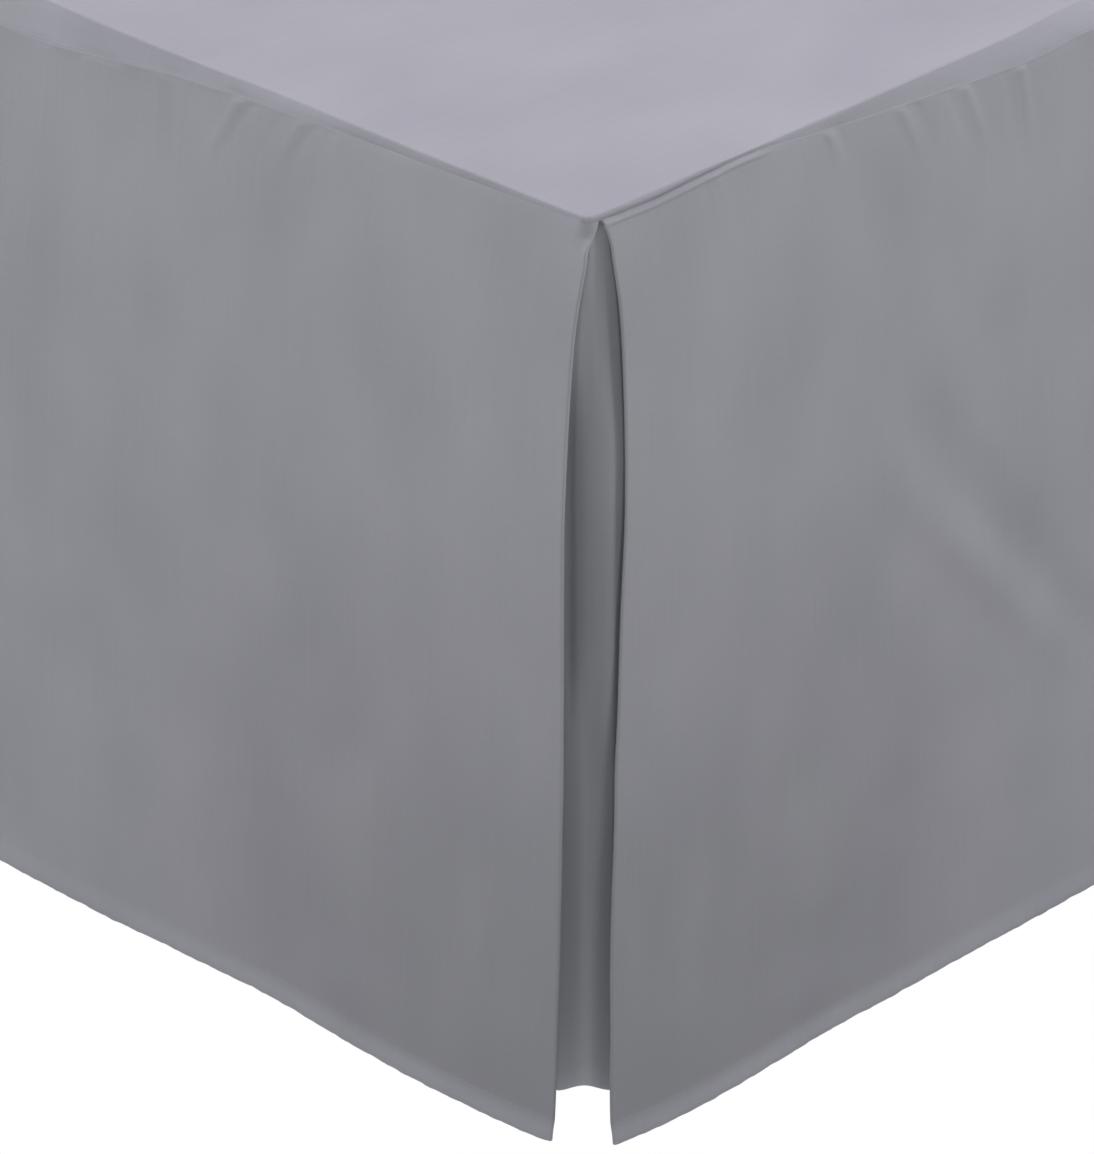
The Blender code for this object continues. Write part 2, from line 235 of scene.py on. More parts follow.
def cloth_material(name, dark, light, thread, relief, sheen, fineness=1.0, shade_tone=None):
    """Woven cloth, laid out by the piece's own UV map, in metres.

    The last argument is painted shade: the tone, as a share of its colour, that the cloth is
    darkened to where it is made to look shaded; the piece's painted shade attribute says how much
    each point takes.
    """
    material, tree, shader = new_material(name)
    shader.inputs["Specular IOR Level"].default_value = 0.18
    shader.inputs["Sheen Weight"].default_value = sheen
    shader.inputs["Sheen Roughness"].default_value = 0.55
    layout = node(tree, "ShaderNodeUVMap", uv_map="layout")
    weave = node(tree, "ShaderNodeGroup", node_tree=plain_weave)
    weave.inputs["Thread"].default_value = thread
    slubs = node(tree, "ShaderNodeGroup", node_tree=uneven_threads)
    slubs.inputs["Fineness"].default_value = fineness
    for group in (weave, slubs):
        link(tree, layout.outputs[0], group.inputs["Layout"])

    # The colour: darker between the threads as painted shade in the weave's hollows, and a little
    # uneven from thread to thread
    raised = sum_of(tree, "MULTIPLY", weave.outputs["Height"], 0.18)
    streaked = sum_of(tree, "MULTIPLY", slubs.outputs["Streaks"], 0.28)
    clouded = sum_of(tree, "MULTIPLY", slubs.outputs["Clouds"], 0.60)
    warped = sum_of(tree, "MULTIPLY", weave.outputs["Warp"], 0.04)
    share = sum_of(tree, "ADD", sum_of(tree, "ADD", raised, streaked),
                   sum_of(tree, "ADD", clouded, warped))
    colour = colours_over(tree, share, (0.22, dark), (1.0, light))
    # Painted shade: the colour is darkened towards that tone by the piece's attribute
    if shade_tone:
        shade_mix = node(tree, "ShaderNodeMix", data_type="RGBA", blend_type="MULTIPLY")
        link(tree, node(tree, "ShaderNodeAttribute", attribute_name="painted_shade").outputs["Fac"],
             shade_mix.inputs[0])
        link(tree, colour, shade_mix.inputs[6])
        shade_mix.inputs[7].default_value = shade_tone
        colour = shade_mix.outputs[2]
    link(tree, colour, shader.inputs["Base Color"])
    roughen(tree, shader, weave.outputs["Height"], 0.94, 0.80)
    raise_relief(tree, shader, (slubs.outputs["Crinkle"], relief.crinkle),
                 (slubs.outputs["Streaks"], relief.slub), (weave.outputs["Height"], relief.weave))
    return material


Relief = namedtuple("Relief", "crinkle slub weave")
cover_cloth = cloth_material("base_cover", COVER_DARK, COVER_LIGHT, COVER_THREAD,
                             Relief(0.0004, 0.0002, 0.00025), 0.10, 0.45)


def place_piece(piece, slot, *nodes):
    """It rides on the one body and stands for the CAD nodes, which it hides. The slot is not used.
    """
    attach(piece, "root")
    if nodes:
        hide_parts(*nodes)


deselect()
bpy.ops.mesh.primitive_cube_add(size=1.0, location=(base_low + base_high) / 2)
base = bpy.context.object
base.name = "covered_base"
bpy.ops.transform.resize(value=base_high - base_low)
bpy.ops.object.transform_apply(location=True, rotation=True, scale=True)
bpy.ops.object.mode_set(mode="EDIT")
pick(base, edges=lambda a, b: abs(a.z - b.z) > 0.1)
bpy.ops.mesh.bevel(offset=BASE_CORNER, segments=8, affect="EDGES")
pick(base, edges=lambda a, b: abs(a.z - b.z) < 0.001)
bpy.ops.mesh.bevel(offset=BASE_EDGE, segments=4, affect="EDGES")
seam_height = base_high.z - BORDER_SEAM
for shift in (-2.5, -1.0, 0.0, 1.0, 2.5):
    bpy.ops.mesh.select_all(action="SELECT")
    bpy.ops.mesh.bisect(plane_co=(0.0, 0.0, seam_height + shift * SEAM_NARROW / 2),
                        plane_no=(0.0, 0.0, 1.0))
pick(base, points=lambda p: abs(p.z - seam_height) < SEAM_NARROW / 4)
bpy.ops.transform.shrink_fatten(value=-SEAM_PULL)
bpy.ops.mesh.select_all(action="SELECT")
bpy.ops.uv.cube_project(cube_size=1.0, correct_aspect=False, scale_to_bounds=False)
bpy.ops.object.mode_set(mode="OBJECT")
bpy.ops.object.shade_smooth_by_angle(angle=radians(50))
base.data.uv_layers.active.name = "layout"
base.data.materials.append(cover_cloth)
place_piece(base, "base_cover", "bed_base")


# ---- Legs --------------------------------------------------------------------------------------
# Six turned legs of dark stained beech, screwed up into the base. Each tapers to the floor, has a
# shallow turned ring under its top, and stands on a thin felt pad.

LEG_SIDES = 48
LEG_TOP_RADIUS = 0.030
LEG_FOOT_RADIUS = 0.022
RING_BELOW_TOP = 0.016
RING_WIDTH = 0.0034
RING_CUT = 0.93             # how far the ring narrows the leg
FELT = 0.0025               # thickness of the pad under a leg
WOOD_DARK = (0.050, 0.026, 0.014, 1.0)
WOOD_LIGHT = (0.150, 0.082, 0.045, 1.0)
FELT_BROWN = (0.070, 0.055, 0.045, 1.0)


def wood_material():
    """Stained wood with its grain running up the leg, under a satin lacquer."""
    material, tree, shader = new_material("leg_wood")
    shader.inputs["Coat Weight"].default_value = 0.25
    shader.inputs["Coat Roughness"].default_value = 0.25
    place = node(tree, "ShaderNodeTexCoord").outputs["Object"]
    stretch = node(tree, "ShaderNodeMapping")
    stretch.inputs["Scale"].default_value = (1.0, 1.0, 0.06)
    link(tree, place, stretch.inputs["Vector"])
    figure = noise_over(tree, stretch.outputs[0], 130.0, 6.0)
    figure.inputs["Distortion"].default_value = 0.6
    pores = noise_over(tree, stretch.outputs[0], 900.0, 2.0).outputs["Fac"]
    colour = colours_over(tree, figure.outputs["Fac"], (0.35, WOOD_DARK), (0.68, WOOD_LIGHT))
    link(tree, colour, shader.inputs["Base Color"])
    roughen(tree, shader, pores, 0.30, 0.52)
    raise_relief(tree, shader, (pores, 0.0002))
    return material


def felt_material():
    """Pressed felt: matt, with a short tangled nap."""
    material, tree, shader = new_material("leg_felt")
    shader.inputs["Base Color"].default_value = FELT_BROWN
    shader.inputs["Sheen Weight"].default_value = 0.4
    place = node(tree, "ShaderNodeTexCoord").outputs["Object"]
    nap = noise_over(tree, place, 1400.0, 4.0).outputs["Fac"]
    roughen(tree, shader, nap, 0.85, 1.0)
    raise_relief(tree, shader, (nap, 0.0003))
    return material


leg_wood = wood_material()
leg_felt = felt_material()
leg_low, leg_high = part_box("leg_foot_right")
leg_height = leg_high.z - leg_low.z
leg_middle = (leg_low + leg_high) / 2


def rings_at(*heights):
    """Cut the piece in edit mode level at some heights."""
    for height in heights:
        bpy.ops.mesh.select_all(action="SELECT")
        bpy.ops.mesh.bisect(plane_co=(0.0, 0.0, height), plane_no=(0.0, 0.0, 1.0))


deselect()
bpy.ops.mesh.primitive_cone_add(vertices=LEG_SIDES, radius1=LEG_FOOT_RADIUS,
                                radius2=LEG_TOP_RADIUS, depth=leg_height, location=leg_middle)
turned_leg = bpy.context.object
bpy.ops.object.transform_apply(location=True, rotation=False, scale=False)
bpy.ops.object.mode_set(mode="EDIT")
ring_height = leg_high.z - RING_BELOW_TOP
rings_at(FELT, FELT + 0.0006, ring_height - RING_WIDTH, ring_height - RING_WIDTH / 2,
         ring_height + RING_WIDTH / 2, ring_height + RING_WIDTH)
pick(turned_leg, points=lambda p: abs(p.z - ring_height) < 0.6 * RING_WIDTH)
bpy.ops.transform.resize(value=(RING_CUT, RING_CUT, 1.0),
                         center_override=(leg_middle.x, leg_middle.y, ring_height))
pick(turned_leg, points=lambda p: p.z < FELT + 0.0001)
bpy.ops.transform.resize(value=(0.94, 0.94, 1.0), center_override=(leg_middle.x, leg_middle.y, 0.0))
rim = lambda height: lambda a, b: abs(a.z - b.z) < 1e-5 and abs(a.z - height) < 1e-4
pick(turned_leg, edges=rim(leg_high.z))
bpy.ops.mesh.bevel(offset=0.0012, segments=2, affect="EDGES")
bpy.ops.object.mode_set(mode="OBJECT")
bpy.ops.object.shade_smooth_by_angle(angle=radians(35))
turned_leg.data.materials.append(leg_wood)
turned_leg.data.materials.append(leg_felt)
for face in turned_leg.data.polygons:
    if face.center.z < FELT:
        face.material_index = 1

# The first leg is placed last, so that the copies carry nothing of its own
for row in ("middle", "head", "foot"):
    for hand in ("left", "right"):
        low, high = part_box(f"leg_{row}_{hand}")
        if (row, hand) == ("foot", "right"):
            leg = turned_leg
        else:
            deselect()
            turned_leg.select_set(True)
            bpy.context.view_layer.objects.active = turned_leg
            bpy.ops.object.duplicate()
            leg = bpy.context.object
            leg.location = (low + high) / 2 - leg_middle
            bpy.ops.object.transform_apply(location=True, rotation=False, scale=False)
        leg.name = f"turned_leg_{row}_{hand}"
        place_piece(leg, "leg_wood", f"leg_{row}_{hand}")


# ---- Deck --------------------------------------------------------------------------------------
# The deck of the skirt: one piece of grey microfibre that lies on the base under the mattress. It
# turns down over three edges to the seam, and is hemmed across the head, where the bed is open.

BED_WIDTH = 1.524
BED_LENGTH = 2.032
DROP = 0.381                # from the top of the deck to the hem
HEM_CLEARANCE = 0.004
STAND_OFF = 0.007           # from the base's side to the face plane of a drop
FLARE = 0.0335              # how far the hem stands out from that plane
HEM_REACH = FLARE + 0.0030  # the same, with the hem's own folds and thickness
SOLID_CLOTH = 0.001         # thickness of the cloth in the solids
CLOTH = 0.0005              # and here
DECK_CORNER = 0.005         # plan radius of the deck's corner
SPLIT_PLACE = 0.0074        # where the drops part, along the side from that corner
DECK_MIDDLE = HEM_CLEARANCE + DROP - CLOTH / 2
FACE_X = BED_WIDTH / 2 + STAND_OFF
HEAD_Y = (BED_LENGTH + STAND_OFF + HEM_REACH) / 2
FACE_Y = HEAD_Y - BED_LENGTH - STAND_OFF
FOOT_LENGTH = 2 * FACE_X
SIDE_LENGTH = HEAD_Y - FACE_Y
LEAN = atan2(FLARE, DROP)
CORNER_ARC = DECK_CORNER * pi / 2
SPLIT = SPLIT_PLACE - DECK_CORNER + CORNER_ARC / 2
INNER = 0.012               # from the face planes to the flat of the deck
HEM_RADIUS = 0.0006         # of the cloth's turn at the edge of a hem
HEM_WIDTH = 0.0100
DECK_HEM_LIFT = 0.0010      # how far the hem across the head lifts the deck
HEM_STITCHED = 0.0088       # from a hem's edge to its row of stitches
STITCH_PITCH = 0.0034
STITCH_LENGTH = 0.0025
THREAD_WIDTH = 0.00028
STITCH_SUNK = 0.00006       # how deep its middle lies in the cloth
STITCH_STRAIGHT = 0.985     # as a share of its length: where the cloth turns more, none is sewn
CLOTH_DARK = (0.300, 0.293, 0.350, 1.0)
CLOTH_LIGHT = (0.396, 0.388, 0.448, 1.0)
CLOTH_THREAD = 0.00034

# Along an edge, by place: the distance from where the two face planes would cross
SHOULDER = {                # radius of the turn over the edge
    "foot": ((0.000, 0.0016), (0.100, 0.0018), (0.165, 0.0028), (0.205, 0.0018),
             (0.260, 0.0022), (0.320, 0.0050)),
    "side": ((0.000, 0.0012), (0.150, 0.0012), (0.195, 0.0020), (0.240, 0.0028),
             (0.275, 0.0058), (0.340, 0.0080)),
}
SEAM = {                    # how far the seam lies below the deck
    "foot": ((0.000, 0.0015), (0.045, 0.0022), (0.150, 0.0044), (0.210, 0.0062),
             (0.260, 0.0112), (0.305, 0.0152), (0.370, 0.0120)),
    "side": ((0.000, 0.0018), (0.014, 0.0022), (0.034, 0.0026), (0.060, 0.0016),
             (0.090, 0.0008), (0.135, 0.0046), (0.200, 0.0086), (0.255, 0.0112),
             (0.285, 0.0096), (0.370, 0.0120)),
}
# Stretches where the seam is pulled in: their middle, half length and depth
Pull = namedtuple("Pull", "middle half depth")
PULLED = {
    "foot": (Pull(0.128, 0.020, 0.0002), Pull(0.186, 0.007, 0.0005), Pull(0.2215, 0.008, 0.0006),
             Pull(0.262, 0.015, 0.0006), Pull(0.2985, 0.008, 0.0007)),
    "side": (Pull(0.0157, 0.004, 0.0005), Pull(0.050, 0.028, 0.0005), Pull(0.082, 0.022, 0.0006),
             Pull(0.136, 0.006, 0.0004), Pull(0.200, 0.016, 0.0003), Pull(0.255, 0.040, 0.0005)),
}
BEAD = 0.0005               # ridge on both sides of the side's seam, beside the corner
SLOPED = {                  # how far back the seam lies from the drop below it
    "foot": ((0.000, 0.0005), (0.120, 0.0003), (0.170, -0.0002), (0.210, -0.0012),
             (0.300, -0.0014)),
    "side": ((0.000, 0.0003), (0.090, 0.0002), (0.150, 0.0000), (0.200, -0.0006),
             (0.250, -0.0010), (0.300, -0.0010)),
}
SLOPE_LENGTH = 0.0045
GROOVE_WIDTH = {            # narrow beside the side's corner, and softer elsewhere
    "foot": ((0.000, 0.0022), (0.400, 0.0022)),
    "side": ((0.000, 0.0011), (0.090, 0.0011), (0.120, 0.0020), (0.400, 0.0024)),
}
CREASED = 0.80              # how near the turned-down edge comes to a flat band, from 0 to 1
RIM_RAISED = 0.00020        # ridge along its upper edge
RIM_LENGTH = 0.0010


def unit(vectors):
    return vectors / np.linalg.norm(vectors, axis=-1, keepdims=True)


def turned_to(facing, normals):
    """The normals, all turned over if on the whole they look away from facing."""
    return -normals if (normals * facing).sum() < 0 else normals


def smooth(x):
    """Soft step from 0 to 1."""
    x = np.clip(x, 0.0, 1.0)
    return x * x * (3 - 2 * x)


def ridge(x):
    """Soft ridge, 1 high at 0 and gone at -1 and 1."""
    return (1 + np.cos(pi * np.clip(x, -1.0, 1.0))) / 2


def read(table, place):
    """Values of a table at some places: a smooth curve through its rows, level beyond them."""
    places, values = np.array(table).T
    rise = np.zeros(len(places))
    rise[1:-1] = (values[2:] - values[:-2]) / (places[2:] - places[:-2])
    place = np.clip(place, places[0], places[-1])
    row = np.clip(np.searchsorted(places, place, side="right") - 1, 0, len(places) - 2)
    span = places[row + 1] - places[row]
    x = (place - places[row]) / span
    level = values[row] + (values[row + 1] - values[row]) * smooth(x)
    return level + x * (1 - x) * span * ((1 - x) * rise[row] - x * rise[row + 1])


def uneven(place, pitch, phase):
    """A slow irregular wave between about -1 and 1."""
    turns = 2 * pi * np.asarray(place) / pitch
    return (0.5 * np.sin(turns + phase) + 0.3 * np.sin(1.73 * turns + 2.1 * phase)
            + 0.2 * np.sin(2.91 * turns + 4.7 * phase))


def outline(w):
    """Plan point and outward direction on the deck's outline, w along it from mid corner.

    The corner's own plan has the foot along -X and the side along +Y.
    """
    turn = np.clip((w + CORNER_ARC / 2) / DECK_CORNER, 0.0, pi / 2)
    straight = w + CORNER_ARC / 2 - DECK_CORNER * turn
    out = np.stack((np.sin(turn), -np.cos(turn)), -1)
    along = np.stack((np.cos(turn), np.sin(turn)), -1)
    point = np.array((-DECK_CORNER, DECK_CORNER)) + DECK_CORNER * out
    return point + straight[..., None] * along, out


def to_world(side, point, depth):
    """World points from the plan of the right (1) or left (-1) corner and a depth."""
    return np.stack((side * (FACE_X + point[..., 0]), FACE_Y + point[..., 1],
                     DECK_MIDDLE - depth), -1)


def over_edge(radius, cloth, raised):
    """How far out, and how deep, a length of cloth reaches over the edge of the deck.

    It starts on the flat, turns over the shoulder and then hangs leaning out. Raised is how far
    it stands off that line.
    """
    turn = np.clip(cloth / radius, 0.0, pi / 2 - LEAN)
    rest = cloth - radius * turn
    return (radius * (np.sin(turn) - 1) + rest * np.sin(LEAN) + raised * np.sin(turn),
            radius * (1 - np.cos(turn)) + rest * np.cos(LEAN) - raised * np.cos(turn))


def cloth_to_seam(panel, place):
    """Length of cloth from the flat of the deck to the seam."""
    radius = read(SHOULDER[panel], place)
    seam = read(SEAM[panel], place)
    rolled = radius * np.arccos(np.clip(1 - seam / radius, 0.0, 1.0))
    return np.where(seam < radius, rolled, radius * (pi / 2 - 1) + seam)


def deck_edge(radius, to_seam, share, raised):
    """As over_edge, for the deck's cloth: creased at its rim, and then nearly straight."""
    out, depth = over_edge(radius, share * to_seam, raised)
    flush_out, flush_depth = over_edge(radius, share * to_seam, 0.0)
    end_out, end_depth = over_edge(radius, to_seam, 0.0)
    straight_out, straight_depth = -radius + share * (end_out + radius), share * end_depth
    rim = RIM_RAISED * np.exp(-(share * to_seam / RIM_LENGTH) ** 2)
    return (out + CREASED * (straight_out - flush_out),
            depth + CREASED * (straight_depth - flush_depth) - rim)


def groove(panel, place, away):
    """How far the cloth is pulled in beside the seam, by the distance away from it."""
    depth = 0.0001 + 0.0006 * smooth((place - 0.31) / 0.05) * (0.7 + 0.5 * uneven(place, 0.11, 1.0))
    for pull in PULLED[panel]:
        depth = depth + pull.depth * smooth(1.7 * (1 - np.abs(place - pull.middle) / pull.half))
    depth = depth * (1 + 0.30 * uneven(place, 0.017, 1.0))
    bead = BEAD * smooth((0.105 - place) / 0.020) * ridge((np.abs(away) - 0.0019) / 0.0016)
    return (bead if panel == "side" else 0.0) - depth * np.exp(
        -(away / read(GROOVE_WIDTH[panel], place)) ** 2)


def steps(*runs):
    """Distances from 0 on, in runs of (end, step)."""
    made = [0.0]
    for end, step in runs:
        count = max(round((end - made[-1]) / step), 1)
        made += [made[-1] + (end - made[-1]) * (i + 1) / count for i in range(count)]
        made = made[:-1] + [end]
    return made


def deck_rows():
    """Rows of the turned-down edge: the share of the flat rim, and of the cloth to the seam."""
    flat = [(share, 0.0) for share in (0.0, 0.55, 0.88, 1.0)]
    rolled = [(1.0, share) for share in (0.05, 0.11, 0.20, 0.34, 0.50, 0.64, 0.76, 0.85, 0.92,
                                         0.97, 1.0)]
    return np.array(flat + rolled)


def edge_of_deck(side, panel, w, flat, rolled):
    """World points of the turned-down edge."""
    place = np.abs(w) + DECK_CORNER - CORNER_ARC / 2
    radius = read(SHOULDER[panel], place)
    to_seam = cloth_to_seam(panel, place)
    pulled = np.where(rolled > 0, groove(panel, place, to_seam * (1 - rolled))
                      - read(SLOPED[panel], place) * rolled ** 2, 0.0)
    out, depth = deck_edge(radius, to_seam, rolled, pulled)
    point, outward = outline(w)
    inside = np.clip(np.abs(point), INNER, None) * np.array((-1.0, 1.0))
    inside = np.where(np.abs(w)[..., None] < CORNER_ARC / 2,
                      np.array((-INNER, INNER)), inside)
    start = point - radius[..., None] * outward
    rim = inside + (start - inside) * flat[..., None]
    over = point + outward * out[..., None]
    depth = np.where(rolled > 0, depth, -RIM_RAISED * smooth((flat - 0.8) / 0.2))
    return to_world(side, np.where((rolled > 0)[..., None], over, rim), depth)


def add_mesh(name, points, faces, layout, material):
    """A new mesh object with a UV map in metres."""
    mesh = bpy.data.meshes.new(name)
    mesh.from_pydata(np.asarray(points).tolist(), [], np.asarray(faces).tolist())
    corners = np.empty(len(mesh.loops), dtype=np.int32)
    mesh.loops.foreach_get("vertex_index", corners)
    mesh.uv_layers.new(name="layout").data.foreach_set("uv", np.asarray(layout)[corners].ravel())
    mesh.shade_smooth()
    mesh.materials.append(material)
    return add_object(name, mesh)


def up_from_edge(points, length):
    """The points a length of cloth above the last row of a sheet's grid of points."""
    back = points[:, ::-1]
    walked = np.cumsum(np.linalg.norm(np.diff(back, axis=1, prepend=back[:, :1]), axis=-1), 1)
    return np.array([[np.interp(length, walk, column[:, axis]) for axis in range(3)]
                     for walk, column in zip(walked, back)])


def turned_up(points, facing, radius, width):
    """Rows that turn the last row of a sheet round a hem's edge and back behind it.

    The points are (column, row, 3), and facing is roughly the way the right side looks.
    """
    radius = np.broadcast_to(radius, len(points))[:, None]
    last = points[:, -1]
    down = unit(last - points[:, -2])
    normal = turned_to(facing, unit(np.cross(np.gradient(last, axis=0), down)))
    middle = last - radius * normal
    rows = [middle + radius * (normal * cos(turn) + down * sin(turn))
            for turn in (pi / 4, pi / 2, 3 * pi / 4, pi)]
    rows += [up_from_edge(points, width * share) - 2 * radius * normal
             for share in (0.1, 0.35, 0.7, 1.0)]
    return np.stack(rows, 1)


def hem_share(points):
    """Where a sheet is doubled by its hem, from 0 to 1: beside its last turned-up rows."""
    below = points[:, ::-1][:, 8:]
    walked = np.cumsum(np.linalg.norm(np.diff(below, axis=1, prepend=below[:, :1]), axis=-1), 1)
    doubled = 1 - smooth((walked - 0.4 * HEM_STITCHED) / (0.9 * HEM_STITCHED))
    return np.concatenate((doubled[:, ::-1], np.ones((len(points), 8))), 1)


def sheet_from(name, points, layout, material, painted_shade=None):
    """A sheet of cloth from a grid of points (column, row, 3) and its flat layout.

    The last argument is painted shade: how much of the material's painted darkening each point
    takes, from 0 to 1.
    """
    columns, rows = points.shape[:2]
    number = np.arange(columns * rows).reshape(columns, rows)
    faces = np.stack((number[:-1, :-1], number[1:, :-1], number[1:, 1:], number[:-1, 1:]),
                     -1).reshape(-1, 4)
    piece = add_mesh(name, points.reshape(-1, 3), faces, layout.reshape(-1, 2), material)
    if painted_shade is not None:
        # Painted shade by point, left off where the hem doubles the cloth, so that the hem looks
        # lighter
        attribute = piece.data.attributes.new("painted_shade", "FLOAT", "POINT")
        doubled = hem_share(points)
        attribute.data.foreach_set(
            "value", np.asarray(painted_shade * (1 - doubled), dtype=np.float32).ravel())
    wall = piece.modifiers.new("Cloth", "SOLIDIFY")
    wall.thickness = CLOTH
    wall.offset = 0.0
    return piece


def layout_of(points):
    """Flat layout of a grid of points, measured along its middle row and middle column."""
    def measured(line):
        lengths = np.linalg.norm(np.diff(line, axis=0), axis=-1)
        return np.concatenate(([0.0], np.cumsum(lengths)))
    across = measured(points[:, points.shape[1] // 2])
    down = measured(points[points.shape[0] // 2])
    return np.stack(np.broadcast_arrays(across[:, None], -down[None, :]), -1)


skirt_cloth = cloth_material("skirt_cloth", CLOTH_DARK, CLOTH_LIGHT, CLOTH_THREAD,
                             Relief(0.00012, 0.00003, 0.00004), 0.12,
                             shade_tone=(0.80, 0.805, 0.79, 1.0))


def thread_material():
    """Spun sewing thread, dyed to match, with its twist."""
    material, tree, shader = new_material("hem_thread")
    shader.inputs["Specular IOR Level"].default_value = 0.25
    shader.inputs["Sheen Weight"].default_value = 0.15
    place = node(tree, "ShaderNodeTexCoord").outputs["Object"]
    twist = noise_over(tree, place, 2600.0, 2.0).outputs["Fac"]
    colour = colours_over(tree, twist, (0.30, CLOTH_DARK), (0.75, CLOTH_LIGHT))
    link(tree, colour, shader.inputs["Base Color"])
    roughen(tree, shader, twist, 0.60, 0.82)
    raise_relief(tree, shader, (twist, 0.00005))
    return material


hem_thread = thread_material()

# One stitch, along X: a short length of thread that dips into the cloth at its ends
deselect()
bpy.ops.mesh.primitive_uv_sphere_add(segments=6, ring_count=4, radius=0.5)
stitch = bpy.context.object
bpy.ops.object.mode_set(mode="EDIT")
bpy.ops.transform.rotate(value=pi / 2, orient_axis="Y", center_override=(0.0, 0.0, 0.0))
bpy.ops.transform.resize(value=(STITCH_LENGTH, THREAD_WIDTH, THREAD_WIDTH * 0.8))
bpy.ops.object.mode_set(mode="OBJECT")
stitch_points = np.array([point.co for point in stitch.data.vertices])
stitch_faces = [list(face.vertices) for face in stitch.data.polygons]
bpy.data.objects.remove(stitch)


def sew(name, points, facing):
    """A row of stitches above the last row of a sheet's grid of points, through its doubled hem."""
    line = up_from_edge(points, HEM_STITCHED)
    up = points[:, -6] - points[:, -1]
    run = np.cumsum(np.linalg.norm(np.diff(line, axis=0, prepend=line[:1]), axis=-1))
    places = np.arange(STITCH_PITCH, run[-1] - STITCH_PITCH, STITCH_PITCH)

    def along_run(values, shift=0.0):
        return np.stack([np.interp(places + shift, run, values[:, axis])
                         for axis in range(3)], -1)

    middle = along_run(line)
    ahead = unit(along_run(np.gradient(line, axis=0)))
    out = turned_to(facing, unit(np.cross(ahead, along_run(up))))
    across = np.cross(out, ahead)
    # Where the cloth folds over, the machine's stitches don't follow it
    chord = along_run(line, STITCH_LENGTH / 2) - along_run(line, -STITCH_LENGTH / 2)
    level = np.linalg.norm(chord, axis=-1) > STITCH_STRAIGHT * STITCH_LENGTH
    middle, ahead, across, out = (values[level] for values in (middle, ahead, across, out))
    middle = middle + out * (CLOTH / 2 - STITCH_SUNK)
    made = (middle[:, None] + ahead[:, None] * stitch_points[None, :, :1]
            + across[:, None] * stitch_points[None, :, 1:2]
            + out[:, None] * stitch_points[None, :, 2:])
    count = len(stitch_points)
    faces = [[number + i * count for number in face]
             for i in range(len(middle)) for face in stitch_faces]
    mesh = bpy.data.meshes.new(name)
    mesh.from_pydata(made.reshape(-1, 3).tolist(), [], faces)
    mesh.shade_smooth()
    mesh.materials.append(hem_thread)
    row = add_object(name, mesh)
    place_piece(row, "skirt_cloth")
    return row


# The deck is one grid, from the left seam to the right seam and from the foot seam to the head
edge_rows = deck_rows()
last_row = len(edge_rows) - 1
side_places = INNER + np.array(steps((0.330, 0.0033), (SIDE_LENGTH - INNER - 0.016, 0.024),
                                     (SIDE_LENGTH - INNER - 0.0006, 0.0022)))
right_places = INNER + np.array(steps((0.330, 0.0033), (FACE_X - INNER, 0.024)))
left_places = INNER + np.array(steps((0.330, 0.011), (FACE_X - INNER, 0.024)))
across_x = np.concatenate((-(FACE_X - left_places), (FACE_X - right_places)[-2::-1]))
edge_index = np.arange(last_row, 0, -1)
# For each column: its row in the turned-down edge (0 in the flat), the side and its X
columns = ([(k, -1, 0.0) for k in edge_index] + [(0, 0, x) for x in across_x]
           + [(k, 1, 0.0) for k in edge_index[::-1]])
rows = [(k, 0.0) for k in edge_index] + [(0, FACE_Y + place) for place in side_places]
column_edge, column_side, column_x = (np.array(v)[:, None] for v in zip(*columns))
row_edge, row_y = (np.array(v)[None, :] for v in zip(*rows))
column_edge, column_side, column_x, row_edge, row_y = np.broadcast_arrays(
    column_edge, column_side, column_x, row_edge, row_y)

deck_points = np.stack((column_x, row_y, np.full(column_x.shape, DECK_MIDDLE)), -1)
level = np.maximum(column_edge, row_edge)
hand = np.where(column_side != 0, column_side, np.where(column_x > 0, 1, -1))
plan_from_corner = np.abs(FACE_X - np.abs(column_x))
corner_w = CORNER_ARC / 2 * (column_edge - row_edge) / np.maximum(level, 1)
straight_side = row_y - FACE_Y - DECK_CORNER + CORNER_ARC / 2
straight_foot = -(plan_from_corner - DECK_CORNER + CORNER_ARC / 2)
w = np.where((column_edge > 0) & (row_edge > 0), corner_w,
             np.where(column_edge > 0, straight_side, straight_foot))
for panel, where in (("side", (level > 0) & (w >= SPLIT)), ("foot", (level > 0) & (w < SPLIT))):
    flat, rolled = edge_rows[level[where]].T
    deck_points[where] = edge_of_deck(hand[where], panel, w[where], flat, rolled)
to_head = HEAD_Y - deck_points[..., 1]
deck_points[..., 2] += DECK_HEM_LIFT * (1 - smooth((to_head - 0.011) / 0.006))

# Away from the corners the flat lies in very slow, low waves
edge_gap = np.minimum(FACE_X - np.abs(deck_points[..., 0]), deck_points[..., 1] - FACE_Y)
open_deck = smooth((edge_gap - 0.10) / 0.25) * smooth((to_head - 0.03) / 0.20)
waves = (uneven(deck_points[..., 0] + 0.2 * deck_points[..., 1], 0.55, 0.7)
         * uneven(deck_points[..., 1] - 0.1 * deck_points[..., 0], 0.62, 2.2))
deck_points[..., 2] += 0.0014 * open_deck * (0.4 + waves).clip(0.0)

deck_stitches = sew("deck_hem_stitches", deck_points, np.array((0.0, 0.0, 1.0)))
hem = turned_up(deck_points, np.array((0.0, 0.0, 1.0)), HEM_RADIUS, HEM_WIDTH)
deck_points = np.concatenate((deck_points, hem), 1)
# An even share of painted shade over the deck
deck = sheet_from("skirt_deck", deck_points, layout_of(deck_points), skirt_cloth, 0.3)
place_piece(deck, "skirt_cloth", "deck")


# ---- Insets ------------------------------------------------------------------------------------
# Behind the opening at each foot corner hangs an inset of the same cloth, sewn to the deck's edge
# and hemmed like the drops, so that the bed stays hidden when the corner parts.

